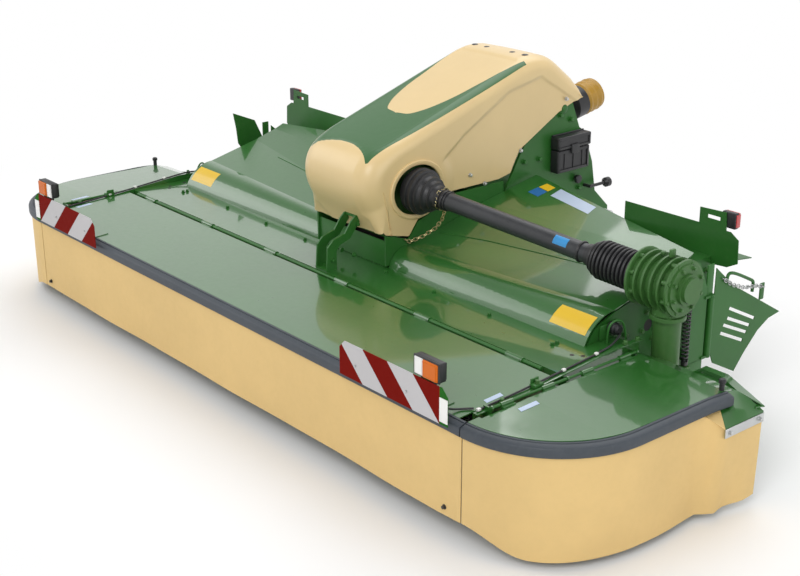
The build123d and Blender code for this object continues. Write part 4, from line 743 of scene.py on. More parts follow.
def bumper_rows(stations):
    """Section rings along a bumper, whose rear end dips."""
    rows = []
    for (x, y), (nx, ny) in stations:
        low = BUMPER_LOW - 8.0 * max(0.0, (y - 820.0) / 145.0) ** 2
        rows.append([at(x + nx * out, y + ny * out, low + up) for out, up in BUMPER_SECTION])
    return rows


class MOWER_OT_bumpers(bpy.types.Operator):
    """Mould the rubber bumpers with their groove and rounded rear ends"""
    bl_idname = "mower.bumpers"
    bl_label = "Bumpers"

    def execute(self, context):
        straight = [((x, 61.0), (0.0, -1.0)) for x in (-FRONT_HALF, -1000, -300, 300, 1000, FRONT_HALF)]
        front = soften(shell("bumper_front", bumper_rows(straight)), 0.001, 1)
        dress(front, "front_guard", "grey_bumper", "bumper", "front_bumper")
        left = shell("bumper_left", bumper_rows(edge_stations(BUMPER_DEPTH, STRAIGHT_END_Y)))
        dress_pair(soften(left, 0.002, 2), "side_guard", "grey_bumper", "bumper", "side_bumper")
        return {"FINISHED"}


# heights of the skirts' lower edges and of their top edge, and the side ones' rear end
SKIRT_LOW_FRONT, SKIRT_LOW_SIDE, SKIRT_TOP = 95.0, 32.0, 438.0
SKIRT_END_Y = 1085.0
# across, past which a place lies on the side skirt's straight rear stretch
SKIRT_SIDE_X = 1990.0


def hang(stations, low_of, top_of, wave_of, steps=14):
    """Rows of a hanging skirt from its top edge down, waving more and more towards its lower edge."""
    rows = []
    for j in range(steps + 1):
        down = j / steps
        row = []
        for (x, y), (nx, ny) in stations:
            low, top = low_of(x, y), top_of(x, y)
            out = wave_of(x, y) * down ** 1.5
            row.append(at(x + nx * out, y + ny * out, top + (low - top) * down))
        rows.append(row)
    return rows


def cloth(name, rows, body, replaced):
    """A skirt of coated cloth."""
    piece = thicken(shell(name, rows, ring=False), 3.6)
    smooth(piece, 50)
    piece.data.materials.append(finish("skirt"))
    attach(piece, body)
    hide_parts(replaced)
    return piece


class MOWER_OT_skirts(bpy.types.Operator):
    """Hang the coated cloth skirts with their waves"""
    bl_idname = "mower.skirts"
    bl_label = "Skirts"

    def execute(self, context):
        amp = context.scene.mower_sizes.skirt_wave * 1000
        count = 160
        line = [((-FRONT_HALF + 2 * FRONT_HALF * k / count, 39.0), (0.0, -1.0)) for k in range(count + 1)]

        def front_wave(x, y):
            end = min(1.0, (FRONT_HALF - abs(x)) / 120)
            return amp * end * (math.sin(x / 190.0 + 0.6) * 0.45 + math.sin(x / 83.0) * 0.15 + 0.5)

        rows = hang(line, lambda x, y: SKIRT_LOW_FRONT + 1.5 * math.sin(x / 310.0), lambda x, y: SKIRT_TOP,
                    front_wave)
        cloth("skirt_front", rows, "front_guard", "front_skirt")

        stations = []
        for (x, y), out in edge_stations(14.0, SKIRT_END_Y, steps=30):
            stand_out = 57.0 * ease((y - 800.0) / 75.0) if out == (1.0, 0.0) else 0.0
            stations.append(((x + stand_out, y), out))

        def side_wave(x, y):
            corner = y < CORNER_MIDDLE[1]
            along = math.atan2(y - CORNER_MIDDLE[1], x - CORNER_MIDDLE[0]) * 430 if corner else y
            start = min(1.0, max(0.0, (x - 1600.0) / 120.0))
            dent = -30.0 * bulge(y, 930.0, 75.0) - 12.0 * bulge(y, SKIRT_END_Y, 60.0)
            return start * (amp * 0.8 * math.sin(along / 75.0) + (dent if y > CORNER_MIDDLE[1] else 0.0))

        def side_low(x, y):
            low = SKIRT_LOW_FRONT + (SKIRT_LOW_SIDE - SKIRT_LOW_FRONT) * ease((x - 1600.0) / 250.0)
            return low + (10.0 * max(0.0, (y - 900.0) / 185.0) if x > SKIRT_SIDE_X else 0.0)

        def side_top(x, y):
            drop = 52.0 * min(1.0, max(0.0, (y - 815.0) / 45.0))
            return SKIRT_TOP - (drop if x > SKIRT_SIDE_X else 0.0)

        rows = hang(stations, side_low, side_top, side_wave)
        mirrored = [[Vector((-p.x, p.y, p.z)) for p in row][::-1] for row in rows]
        for tag, side_rows in (("left", rows), ("right", mirrored)):
            cloth(f"skirt_{tag}", side_rows, f"side_guard_{tag}", f"side_skirt_{tag}")
        return {"FINISHED"}


class MOWER_OT_corners(bpy.types.Operator):
    """Shape the side guards' rear corner plates, their zinc strips and the stop posts"""
    bl_idname = "mower.corners"
    bl_label = "Rear corners"

    def execute(self, context):
        inner = [(1998, 925, 432), (1998, 962, 434), (1998, 972, 474), (1998, 1035, 457), (2040, 1060, 430),
                 (2082, 1086, 391)]
        outer = [(2083, y, 387) for y in (862, 920, 950, 1000, 1045, 1086)]
        rows = []
        for k in range(7):
            rows.append([at(*Vector(a).lerp(Vector(b), k / 6)) for a, b in zip(inner, outer)])
        plate = thicken(shell("corner_plate", rows, ring=False), 3.0)
        lip = block("corner_lip", (2079.5, 862, 352), (2082, 1086, 388), 0.6)
        plate = joined("corner_plate_left", [plate, lip])
        strip = block("corner_strip_left", (2082, 860, 350), (2085.5, 1087, 386), 1.0)
        inner = [at(1999, y, 434) for y in (802, 840, 880, 925)]
        outer = [at(2022, 802, 436), at(2045, 826, 420), at(2070, 846, 400), at(2082, 862, 386)]
        gusset = thicken(shell("skirt_gusset_left", [inner, outer], ring=False), 2.0)
        post = turned("stop_post_left", (1988, 950, 470), (1988, 950, 540),
                      [(0, 15), (4, 15), (6, 10), (40, 10), (43, 14), (54, 14), (58, 10)], 20)
        for piece, slot, paint in ((plate, "green_paint", "green"), (gusset, "beige_skirt", "skirt"),
                                   (strip, "steel", "steel"), (post, "black_plastic", "black")):
            dress_pair(piece, "side_guard", slot, paint)
        for side, tag in ((1, "left"), (-1, "right")):
            places = [((side * 2085.5, y, 368), (side, 0, 0)) for y in (886, 1062)]
            fasteners(f"corner_bolts_{tag}", f"side_guard_{tag}", "steel", "steel", 15.0, places)
        return {"FINISHED"}


class MOWER_OT_boards(bpy.types.Operator):
    """Add the white end plates and the rivets of the warning boards"""
    bl_idname = "mower.boards"
    bl_label = "Board ends"

    def execute(self, context):
        for side, tag in ((1, "left"), (-1, "right")):
            end = side_block(f"board_end_{tag}", side, (1508, -2.2, 482), (1550, 0.0, 574), 0.6)
            dress(end, "front_guard", "board_red_white", "white")
            places = [((side * x, -0.2, 533), (0, -1, 0)) for x in (1330, 1040)]
            fasteners(f"board_rivets_{tag}", "front_guard", "steel", "steel", 7.0, places)
        return {"FINISHED"}


# ways that a pressed face looks
FRONTWARD, BACKWARD, LEFTWARD = (0, -1, 0), (0, 1, 0), (1, 0, 0)


class MOWER_OT_front_lamps(bpy.types.Operator):
    """Build the front lamps: black housing, white reflector and amber lens"""
    bl_idname = "mower.front_lamps"
    bl_label = "Front lamps"

    def execute(self, context):
        housings, whites, ambers = [], [], []
        for side in (-1, 1):
            body = side_block("housing", side, (1363.35, 12, 615.4), (1496.65, 42, 689.1), 5.0, 3)
            press(body, BACKWARD, 6, 4)
            rim = side_block("rim", side, (1361.8, 5, 613.75), (1498.2, 14, 690.2), 3.0, 3)
            press(rim, FRONTWARD, 4, -3)
            foot = side_block("foot", side, (1397.45, 8, 595.6), (1462.55, 30, 615.4), 2.0, 3)
            housings += [body, rim, foot]
            white = side_block("white", side, (1369.55, 2.5, 618.7), (1412.95, 9, 684.7), 2.5, 3)
            amber = side_block("amber", side, (1416.05, -2.0, 618.7), (1492.0, 9, 684.7), 4.0, 3)
            for lens in (white, amber):
                press(lens, FRONTWARD, 5, 1.2)
            whites.append(white)
            ambers.append(amber)
        dress(joined("lamp_housings", housings), "front_guard", "black_plastic", "black", "front_lamps")
        dress(joined("lamp_reflectors", whites), "front_guard", "amber_lens", "white")
        dress(joined("lamp_amber", ambers), "front_guard", "amber_lens", "amber")
        return {"FINISHED"}


class MOWER_OT_rear_lamps(bpy.types.Operator):
    """Build the rear lamps: black housing and red lens"""
    bl_idname = "mower.rear_lamps"
    bl_label = "Rear lamps"

    def execute(self, context):
        housings, lenses = [], []
        for side in (-1, 1):
            housings.append(side_block("housing", side, (1466, 1579.5, 846), (1534, 1602, 914), 4.0, 3))
            lens = side_block("lens", side, (1467, 1602, 847), (1533, 1612, 913), 4.0, 3)
            press(lens, BACKWARD, 8, 4)
            lenses += [lens, side_block("side", side, (1533.5, 1584, 853), (1537, 1610, 907), 1.2, 3)]
        dress(joined("rear_housings", housings), "mower", "black_plastic", "black", "rear_lamps")
        dress(joined("rear_lenses", lenses), "mower", "red_lens", "red")
        return {"FINISHED"}


# cross drive: axis from the centre gearbox to the side gearbox
CROSS_A, CROSS_B = (150.0, 975.0, 850.0), (1470.0, 1100.0, 750.0)
# guard bell: (distance along, radius), a stepped rubber cone
BELL_TURNS = [(75, 84), (96, 101), (112, 104), (122, 104), (126, 96), (142, 96), (146, 104), (151, 104),
              (155, 92), (168, 92), (172, 82), (186, 76), (190, 80), (195, 80), (199, 68), (212, 60),
              (216, 64), (221, 64), (225, 54), (240, 49), (244, 54), (251, 54), (255, 47), (266, 45)]
# guard tube's radius
TUBE_RADIUS = 40.0
# boot: its length, its folded stretch, and the radius of each fold
BOOT_LENGTH, BOOT_FOLDED = 246.0, 236.0
BOOT_FOLDS = [64.0, 75.0] + [82.0] * 10


def along_cross(distance):
    """A place on the cross drive's axis, millimetres from its start."""
    a, b = Vector(CROSS_A), Vector(CROSS_B)
    return a + (b - a).normalized() * distance


def boot_profile(length):
    """The corrugated boot's profile, up to the end of an axis."""
    start = length - BOOT_LENGTH
    profile = [(start - 22, 41), (start - 20, 45), (start - 2, 46), (start, 52)]
    for k, outer in enumerate(BOOT_FOLDS):
        middle = start + 6 + BOOT_FOLDED * (k + 0.5) / len(BOOT_FOLDS)
        profile += [(middle + along, outer - below) for along, below in (
            (-8.0, 12), (-4.5, 2), (-1.5, 0), (1.5, 0), (4.5, 2), (8.0, 12))]
    return profile + [(length - 1, 70)]


def tube_patch():
    """A blank plate wrapped on the guard tube's upper front."""
    a, b = along_cross(902), along_cross(972)
    along = (b - a).normalized()
    side = along.cross(Vector((0, 0, 1))).normalized()
    up = side.cross(along)
    rows = []
    for distance in range(0, 71, 10):
        row = []
        for k in range(15):
            t = math.radians(12 + 58 * k / 14)
            out = (side * math.cos(t) + up * math.sin(t)) * (TUBE_RADIUS + 0.5)
            row.append(at(*(a + along * distance + out)))
        rows.append(row)
    return thicken(shell("tube_plate", rows, ring=False), 0.5)


class MOWER_OT_cross_guard(bpy.types.Operator):
    """Turn the cross drive's ribbed guard cone, its corrugated boot, collars and blank plate"""
    bl_idname = "mower.cross_guard"
    bl_label = "Cross drive guard"

    def execute(self, context):
        cone = turned("guard_cone", CROSS_A, CROSS_B, BELL_TURNS, 64)
        dress(cone, "mower", "black_plastic", "black", "guard_bell")
        length = (Vector(CROSS_B) - Vector(CROSS_A)).length
        boot = turned("guard_boot", CROSS_A, CROSS_B, boot_profile(length), 64)
        dress(boot, "mower", "black_plastic", "black", "bellows")
        collars = []
        for d, w in ((268, 16), (292, 8), (length - BOOT_LENGTH - 60, 10)):
            profile = [(d, 40.3), (d, 44), (d + 3, 46), (d + w - 3, 46), (d + w, 44), (d + w, 40.3)]
            collars.append(turned("collar", CROSS_A, CROSS_B, profile))
        dress(joined("guard_collars", collars), "mower", "black_plastic", "black")
        dress(tube_patch(), "mower", "black_plastic", "sky plate")
        turns = [2 * math.pi * k / 14 for k in range(15)]
        ring = [along_cross(258) + Vector((0, 44 * math.sin(t), 44 * math.cos(t))) for t in turns]
        hanging = [(386, 1022, 822), (372, 1046, 770), (352, 1044, 712), (322, 1030, 668), (290, 985, 632),
                   (264, 930, 612), (258, 912, 622)]
        links = joined("guard_chain", [chain("ring", ring), chain("hang", hanging)])
        dress(links, "mower", "steel", "chain")
        return {"FINISHED"}


# side gearbox's axis, back and up, and the drive column's, across and back
GEARBOX_MIDDLE = (1100.0, 750.0)
COLUMN_MIDDLE = (1602.0, 1100.0)


class MOWER_OT_gearbox(bpy.types.Operator):
    """Add the side gearbox's through bolts, flanges and cover bolts, and the column's flanges"""
    bl_idname = "mower.gearbox"
    bl_label = "Side gearbox fittings"

    def execute(self, context):
        bosses, bolts = [], []
        for t in angles(context.scene.mower_sizes.cover_bolts, 0.5):
            bolts.append(((1684.0, *around(GEARBOX_MIDDLE, 84, t)), (1, 0, 0)))
            rim = around(GEARBOX_MIDDLE, 100, t)
            for x0, x1 in ((1474, 1500), (1638, 1677)):
                bosses.append(rod("boss", (x0, *rim), (x1, *rim), 10.0, 16, 1.0))
            bolts.append(((1474.0, *rim), (-1, 0, 0)))
        for r, x0, x1 in ((118, 1470, 1481), (112, 1664, 1673)):
            profile = [(0, r - 3), (2, r), (x1 - x0 - 2, r), (x1 - x0, r - 3)]
            bosses.append(turned("flange", (x0, *GEARBOX_MIDDLE), (x1, *GEARBOX_MIDDLE), profile, 64))
        for z0, z1, r in ((612, 628, 72), (360, 376, 78)):
            profile = [(0, r), (z1 - z0 - 2, r), (z1 - z0, r - 2)]
            bosses.append(turned("flange", (*COLUMN_MIDDLE, z0), (*COLUMN_MIDDLE, z1), profile))
            bolts += [((*around(COLUMN_MIDDLE, r - 11, t), z1), (0, 0, 1)) for t in angles(6, 0.25)]
        bosses.append(block("ear", (1596, 1086, 858), (1612, 1114, 892), 5.0, 3))
        bosses.append(rod("plug", (1560, 1100, 860), (1560, 1100, 872), 11.0, 6, 1.0))
        dress(joined("gearbox_fittings", bosses), "mower", "cast_green", "green casting")
        fasteners("gearbox_bolts", "mower", "cast_green", "green casting", 15.0, bolts)
        return {"FINISHED"}


# suspension spring: its axis across and back, the coil's ends, mean radius and wire radius
SPRING_AXIS = (1590, 1240)
SPRING_LOW, SPRING_HIGH, SPRING_MEAN, SPRING_WIRE = 385.0, 630.0, 12.5, 4.0


class MOWER_OT_spring(bpy.types.Operator):
    """Wind the suspension spring with its hooks"""
    bl_idname = "mower.spring"
    bl_label = "Suspension spring"

    def execute(self, context):
        turns = context.scene.mower_sizes.spring_turns
        steps = 18
        rows = []
        for k in range(turns * steps + 1):
            t = 2 * math.pi * k / steps
            z = SPRING_LOW + (SPRING_HIGH - SPRING_LOW) * k / (turns * steps)
            out = Vector((math.cos(t), math.sin(t), 0))
            row = []
            for a in angles(8):
                spot = Vector((*SPRING_AXIS, z)) + out * SPRING_MEAN + out * SPRING_WIRE * math.cos(a)
                row.append(at(*(spot + Vector((0, 0, 1)) * SPRING_WIRE * math.sin(a))))
            rows.append(row)
        pieces = [shell("spring", rows)]
        hook = [(0, 5), (3, 7), (6, 14), (22, 14), (25, 7), (28, 5)]
        pieces += [turned("end", (*SPRING_AXIS, z), (*SPRING_AXIS, z + 28), hook, 20) for z in (360, 627)]
        dress(joined("suspension_spring", pieces), "mower", "steel", "dark steel", "tension_spring")
        return {"FINISHED"}


class MOWER_OT_document_box(bpy.types.Operator):
    """Build the document box with its lid, latch and ribs"""
    bl_idname = "mower.document_box"
    bl_label = "Document box"

    def execute(self, context):
        body = block("box", (234, 1853, 756), (286, 2077, 868), 7.0, 4)
        lid = block("lid", (234, 1850, 871), (292, 2080, 935), 8.0, 4)
        press(lid, LEFTWARD, 10, -4)
        press(body, LEFTWARD, 12, -4)
        ribs = [block("rib", (280, y, 774), (286, y + 6, 850)) for y in (1900, 1962, 2024)]
        latch = block("latch", (286, 1938, 846), (298, 1992, 892), 4.0, 3)
        hinge = rod("hinge", (240, 1856, 937), (240, 2074, 937), 4.0, 16)
        case = joined("document_case", [body, lid, latch, hinge] + ribs)
        dress(case, "mower", "black_plastic", "black", "document_box")
        return {"FINISHED"}


# outer face of the headstock's plates, across, and its bolts, back and up
PLATE_OUT = 234
PLATE_BOLTS = [(1910, 1032), (1773, 838), (1672, 841), (1800, 700), (1690, 690), (2060, 640), (1985, 1000)]
COWL_SCREWS = [(250, 1933, 1111), (250, 1400, 790), (241, 1180, 775), (241, 1315, 845), (241, 1640, 905)]


class MOWER_OT_headstock(bpy.types.Operator):
    """Add the headstock's pins, bolts, knob and apron, and the cowl's screws and caps"""
    bl_idname = "mower.headstock"
    bl_label = "Headstock fittings"

    def execute(self, context):
        bolts, screws = [], []
        for side in (-1, 1):
            bolts += [((side * PLATE_OUT, y, z), (side, 0, 0)) for y, z in PLATE_BOLTS]
            screws += [((side * x, y, z), (side, 0, 0)) for x, y, z in COWL_SCREWS]
        fasteners("headstock_bolts", "mower", "steel", "dark green", 22.0, bolts)
        pins = [turned("pin", (side * PLATE_OUT, 1935, 1060), (side * (PLATE_OUT + 12), 1935, 1060),
                       [(0, 24), (5, 24), (7, 17), (10, 17), (12, 13)], 32) for side in (-1, 1)]
        dress(joined("headstock_pins", pins), "mower", "green_paint", "dark green")
        apron = block("nose_apron", (-249, 806, 513), (249, 809, 634), 0.8)
        dress(apron, "mower", "green_paint", "dark green")
        knob = turned("knob", (PLATE_OUT, 2037, 692), (PLATE_OUT + 34, 2037, 692),
                      [(0, 8), (10, 8), (12, 20), (26, 22), (30, 18), (32, 6)], 24)
        dress(knob, "mower", "black_plastic", "black")
        fasteners("cowl_screws", "mower", "steel", "steel", 15.0, screws)
        caps = [turned("cap", (x, 1722, 1337), (x, 1722, 1342), [(0, 17), (3, 16), (5, 11)], 28)
                for x in (-171, -87, 87, 171)]
        dress(joined("cowl_caps", caps), "mower", "black_plastic", "black")
        return {"FINISHED"}


# lamp wires on the left: along the hinge rod, and from a warning board to its seam
ROD_WIRE = [(1553, 135, 496), (1553, 200, 499), (1553, 300, 504), (1553, 419, 512), (1553, 573, 523),
            (1553, 700, 534), (1552, 790, 541), (1546, 850, 548), (1528, 900, 556), (1500, 950, 552),
            (1462, 985, 530)]
BOARD_WIRE = [(1500, 20, 520), (1496, 45, 512), (1494, 70, 500), (1500, 95, 495), (1515, 118, 495),
              (1534, 138, 497)]
# guard hoop over each rubber stop
HOOP = [(1470, 905, 512), (1470, 905, 560), (1472, 915, 590), (1482, 940, 606), (1494, 965, 598),
        (1500, 975, 560), (1502, 978, 520)]
# bolts that look up on the rails, and those that look out on the end plates (back and up)
RAIL_BOLTS = [(1566, 422, 521), (1562, 905, 541), (1562, 975, 538), (1562, 250, 498)]
END_BOLTS = [(650, 500), (1058, 494), (1156, 484), (1222, 436), (1180, 560), (1330, 600), (1490, 640),
             (1550, 652), (1300, 420), (900, 430)]
END_PLATE_OUT = 1430.5


class MOWER_OT_rail_fittings(bpy.types.Operator):
    """Add the wires, clips, catches, hoops and rubber stops along the hinge rails"""
    bl_idname = "mower.rail_fittings"
    bl_label = "Rail fittings"

    def execute(self, context):
        wires, front_wires, clips, catches, rubbers, bolts = [], [], [], [], [], []
        for side in (-1, 1):
            wires.append(tube("wire", on_side(side, ROD_WIRE), 4.0))
            front_wires.append(tube("wire", on_side(side, BOARD_WIRE), 4.0))
            for y, z in ((142, 496), (419, 512), (573, 523), (750, 538)):
                clips.append(side_block("clip", side, (1548.5, y - 8, z - 2), (1561, y + 8, z + 8), 2.0))
            catches.append(side_block("catch", side, (1549, 398, 505), (1578, 446, 521), 3.0))
            catches.append(side_block("catch", side, (1549, 402, 518), (1555, 442, 538), 2.0))
            catches.append(tube("hoop", on_side(side, HOOP), 4.5))
            catches.append(side_block("stay", side, (1431, 900, 511), (1440, 1010, 575), 3.0))
            rubbers.append(turned("stop", (side * 1440, 955, 560), (side * 1490, 955, 560),
                                  [(0, 20), (4, 26), (30, 26), (34, 22), (44, 22), (50, 15)], 28))
            bolts += [(spot, (0, 0, 1)) for spot in on_side(side, RAIL_BOLTS)]
            bolts += [((side * END_PLATE_OUT, y, z), (side, 0, 0)) for y, z in END_BOLTS]
        dress(joined("lamp_wires", wires), "mower", "black_plastic", "black")
        dress(joined("board_wires", front_wires), "front_guard", "black_plastic", "black")
        dress(joined("wire_clips", clips), "mower", "steel", "white")
        dress(joined("rail_catches", catches), "mower", "green_paint", "dark green")
        dress(joined("rubber_stops", rubbers), "mower", "black_plastic", "black")
        fasteners("end_bolts", "mower", "steel", "green casting", 17.0, bolts)
        return {"FINISHED"}


class MOWER_OT_plates(bpy.types.Operator):
    """Lay the blank plates on the hoods and guards"""
    bl_idname = "mower.plates"
    bl_label = "Blank plates"

    def execute(self, context):
        for side, tag in ((1, "left"), (-1, "right")):
            guard = f"side_guard_{tag}"
            for name, target, body, paint, corners in (
                    ("yellow_plate", f"hood_{tag}", "mower", "yellow plate",
                     [(1226, 834), (1418, 834), (1418, 903), (1232, 903)]),
                    ("panel_plate", "front_panel", "front_guard", "pale plate",
                     [(1506, 212), (1530, 206), (1530, 288), (1506, 294)]),
                    ("guard_plate", f"side_panel_{tag}", guard, "pale plate",
                     [(1636, 255), (1660, 249), (1660, 340), (1636, 346)])):
                plate_on(f"{name}_{tag}", target, on_side(side, corners), body, paint)
        for name, corners, paint in (
                ("head_plate_yellow", [(372, 1638), (447, 1621), (450, 1668), (380, 1684)], "yellow plate"),
                ("head_plate_blue", [(366, 1572), (445, 1556), (447, 1616), (370, 1634)], "blue plate"),
                ("head_plate_pale", [(492, 1592), (784, 1528), (770, 1596), (486, 1668)], "pale plate")):
            plate_on(name, "hood_left", corners, "mower", paint)
        return {"FINISHED"}


# top of the deck, and the left hood's seam from its inner to its outer end
DECK_TOP = 511
HOOD_SEAM = [(293, 1086, 627), (522, 1137, 643), (656, 1149, 648), (873, 1174, 658), (1120, 1195, 667)]


class MOWER_OT_hood_fittings(bpy.types.Operator):
    """Add the hoods' seams, black discs painted on the deck as the shade inside its holes, the deck's bolts,
    the strut's bolts and the skirt's bolts
    """
    bl_idname = "mower.hood_fittings"
    bl_label = "Hood fittings"

    def execute(self, context):
        seams, hole_shades, bolts = [], [], []
        for side in (-1, 1):
            seams.append(tube("seam", on_side(side, HOOD_SEAM), 2.2, 6))
            # thin black discs on the deck top: painted shade standing in for the dark inside of holes
            for x, y in on_side(side, ((1457, 722), (1491, 747), (1500, 840))):
                hole_shades.append(turned("hole", (x, y, DECK_TOP), (x, y, DECK_TOP + 0.8), [(0, 9), (0.6, 9)], 20))
            bolts += [((x, y, DECK_TOP), (0, 0, 1)) for x, y in on_side(
                side, ((300, 760), (620, 760), (960, 760), (1341, 760), (1341, 735)))]
        for x, facing in ((122, 1), (38, -1)):
            bolts += [((x, y, z), (facing, 0, 0)) for y, z in ((600, 560), (720, 560), (742, 700))]
        dress(joined("hood_seams", seams), "mower", "green_paint", "dark green")
        dress(joined("deck_holes", hole_shades), "mower", "black_plastic", "black")
        fasteners("deck_bolts", "mower", "steel", "dark green", 16.0, bolts)
        places = [((1500, 35.0, 126), (0, -1, 0)), ((-1527, 35.0, 131), (0, -1, 0))]
        fasteners("skirt_bolts", "front_guard", "steel", "dark steel", 15.0, places)
        return {"FINISHED"}


# left swath board's handle and chain
SWATH_HANDLE = [(1552, y, z) for y, z in ((1530, 630), (1530, 660), (1545, 676), (1590, 662), (1690, 612),
                                          (1712, 600), (1716, 586), (1712, 552))]
SWATH_CHAIN = [(1560, 1500, 660), (1562, 1560, 622), (1562, 1640, 590), (1560, 1720, 578), (1560, 1780, 560)]


class MOWER_OT_swath_fittings(bpy.types.Operator):
    """Add the swath boards' handles, chains and lugs, and the posts' strips"""
    bl_idname = "mower.swath_fittings"
    bl_label = "Swath board fittings"

    def execute(self, context):
        for side, tag in ((1, "left"), (-1, "right")):
            body = f"swath_board_{tag}"
            handle = tube("handle", on_side(side, SWATH_HANDLE), 7.0, 10)
            lug = side_block("lug", side, (1549, 1765, 500), (1556, 1795, 575), 4.0)
            dress(joined(f"swath_handle_{tag}", [handle, lug]), body, "green_paint", "dark green")
            strip = side_block("strip", side, (1549, 1398, 606), (1555, 1438, 742))
            apron = side_block("apron", side, (1549, 1212, 196), (1555, 1402, 338))
            dress(joined(f"post_strips_{tag}", [strip, apron]), "mower", "green_paint", "dark green")
            dress(chain(f"swath_chain_{tag}", on_side(side, SWATH_CHAIN)), body, "steel", "steel")
        return {"FINISHED"}


# cowl, side view (distance back, height): from the nose's lower edge over the top to the rear lower edge
COWL_TOP_LINE = [(776, 673), (764, 706), (750, 735), (702, 822), (690, 865), (688, 910), (699, 958),
                 (724, 1002), (757, 1028), (800, 1044), (1660, 1330), (1712, 1338), (1770, 1337),
                 (1820, 1328), (1862, 1308), (2025, 1180), (2050, 1105)]
# lower edge of its sides, front to rear
COWL_LOW_LINE = [(802, 665), (936, 632), (990, 702), (1080, 738), (1184, 790), (1500, 790), (1579, 806),
                 (1598, 846), (1633, 907), (1892, 1049), (2050, 1105)]
# crease of its sides, below which they are set in
COWL_CREASE = [(1120, 930), (1148, 960), (1271, 1053), (1551, 1210), (1760, 1252), (1990, 1110), (2060, 1060)]
# its half width and its rear end
COWL_HALF = 250.0
COWL_BACK = 2050.0
# shares of the lower edge that lie under the nose and behind it, and the height at which the nose ends
NOSE_SHARE, BODY_SHARE = 0.07, 0.93
NOSE_TOP = 1040.0
# opening in its side, back and up: its middle and its half axes
RING_MIDDLE = (985.0, 842.0)
RING_OPENING = (138.0, 114.0)
# section of the opening's lip: (outside the opening, across)
RING_LIP = [(21, 247), (21, 256), (17, 259), (6, 259), (0, 256), (-1, 246), (6, 245), (17, 245)]


def walked(line, step):
    """Even places along a line, about a step apart."""
    points = [Vector(p) for p in line]
    total = sum((b - a).length for a, b in zip(points, points[1:]))
    count = int(total / step)
    places, left, index = [], 0.0, 0
    for k in range(count + 1):
        goal = total * k / count
        while index < len(points) - 2 and goal > left + (points[index + 1] - points[index]).length:
            left += (points[index + 1] - points[index]).length
            index += 1
        run = (points[index + 1] - points[index]).length
        places.append(points[index].lerp(points[index + 1], min(1.0, (goal - left) / run)))
    return places


def eased(places, reach):
    """Round a line's corners by averaging neighbours, its ends kept."""
    rounded = []
    for k in range(len(places)):
        span = min(reach, k, len(places) - 1 - k)
        near = places[k - span:k + span + 1]
        rounded.append(sum(near, Vector((0, 0))) / len(near))
    return rounded


def value_on(line, place):
    """The second value of a line of pairs, where the first is a given place."""
    for (u0, v0), (u1, v1) in zip(line, line[1:]):
        if place <= u1 or (u1, v1) == line[-1]:
            return v0 + (v1 - v0) * (place - u0) / (u1 - u0)
    return line[-1][1]


def side_set(y, z):
    """How far the cowl's side stands in from its full width."""
    below = 0.0
    if y >= 1100:
        below = ease((value_on(COWL_CREASE, y) - z) / 20.0) * ease((y - 1110) / 50.0)
    round_ring = math.hypot((y - RING_MIDDLE[0]) / 190.0, (z - RING_MIDDLE[1]) / 165.0)
    swell = ease((1.25 - round_ring) / 0.3)
    return 10.0 * below * (1 - swell)


def band_set(x, y):
    """How far the decor band lies below the cowl's top."""
    share = min(1.0, max(0.0, (y - BAND_FROM) / (BAND_TO - BAND_FROM)))
    across = abs(x) / 1000
    inside = ease((value_on(BAND_OUTER, share) - across) / 0.008)
    behind = ease((y - (BROW_BACK - 1000 * BROW_BOW * across * across)) / 10.0)
    before = ease((1665.0 - y) / 25.0)
    return 4.0 * inside * behind * before


def cowl_row(place, along, radius, foot):
    """One row of the cowl's skin, from a foot on its left up over a place on its top and down its right."""
    inward = Vector((along.y, -along.x))
    start = place + inward * radius
    side = []
    for j in range(44):
        y, z = foot.lerp(start, j / 44)
        side.append((COWL_HALF - side_set(y, z), y, z))
    set_in = side_set(start.x, start.y)
    for j in range(10):
        turn = math.pi / 2 * j / 10
        y, z = place + inward * radius * (1 - math.sin(turn))
        side.append((COWL_HALF - radius * (1 - math.cos(turn)) - set_in * math.cos(turn), y, z))
    flat = []
    for j in range(61):
        x = (COWL_HALF - radius) * (1 - 2 * j / 60)
        crown = 5.0 * (1 - (x / COWL_HALF) ** 2)
        flat.append((x, *(place - inward * (crown - band_set(x, place.x)))))
    return [at(*p) for p in side + flat + on_side(-1, reversed(side))]


def cowl_skin():
    """The cowl's moulded skin: nose, shoulders, sides and band."""
    top = eased(walked(COWL_TOP_LINE, 11.0), 4)
    low = walked(COWL_LOW_LINE, 4.0)
    brow = next(k for k, p in enumerate(top) if p.y > NOSE_TOP)
    rows = []
    for k, place in enumerate(top):
        before, after = top[max(0, k - 1)], top[min(len(top) - 1, k + 1)]
        nose = 1 - ease((place.x - 720) / 160.0)
        radius = min(62.0 + 30.0 * nose, 16.0 + 8.0 * k, 8.0 + 7.0 * (len(top) - 1 - k))
        if k < brow:
            share = NOSE_SHARE * k / brow
        else:
            share = NOSE_SHARE + BODY_SHARE * (place.x - top[brow].x) / (COWL_BACK - top[brow].x)
        foot = low[min(len(low) - 1, max(0, int(share * (len(low) - 1))))]
        rows.append(cowl_row(place, (after - before).normalized(), radius, foot))
    skin = shell("cowl_skin", rows, ring=False)
    in_edit(skin, outward)
    return thicken(skin, 4.0, -1.0)


def cut_out(piece, tool):
    """Cut a tool's shape out of a piece and remove the tool."""
    pick(piece)
    cut = piece.modifiers.new("opening", "BOOLEAN")
    cut.operation = "DIFFERENCE"
    cut.object = tool
    cut.solver = "EXACT"
    bpy.ops.object.modifier_apply(modifier=cut.name)
    bpy.data.objects.remove(tool)


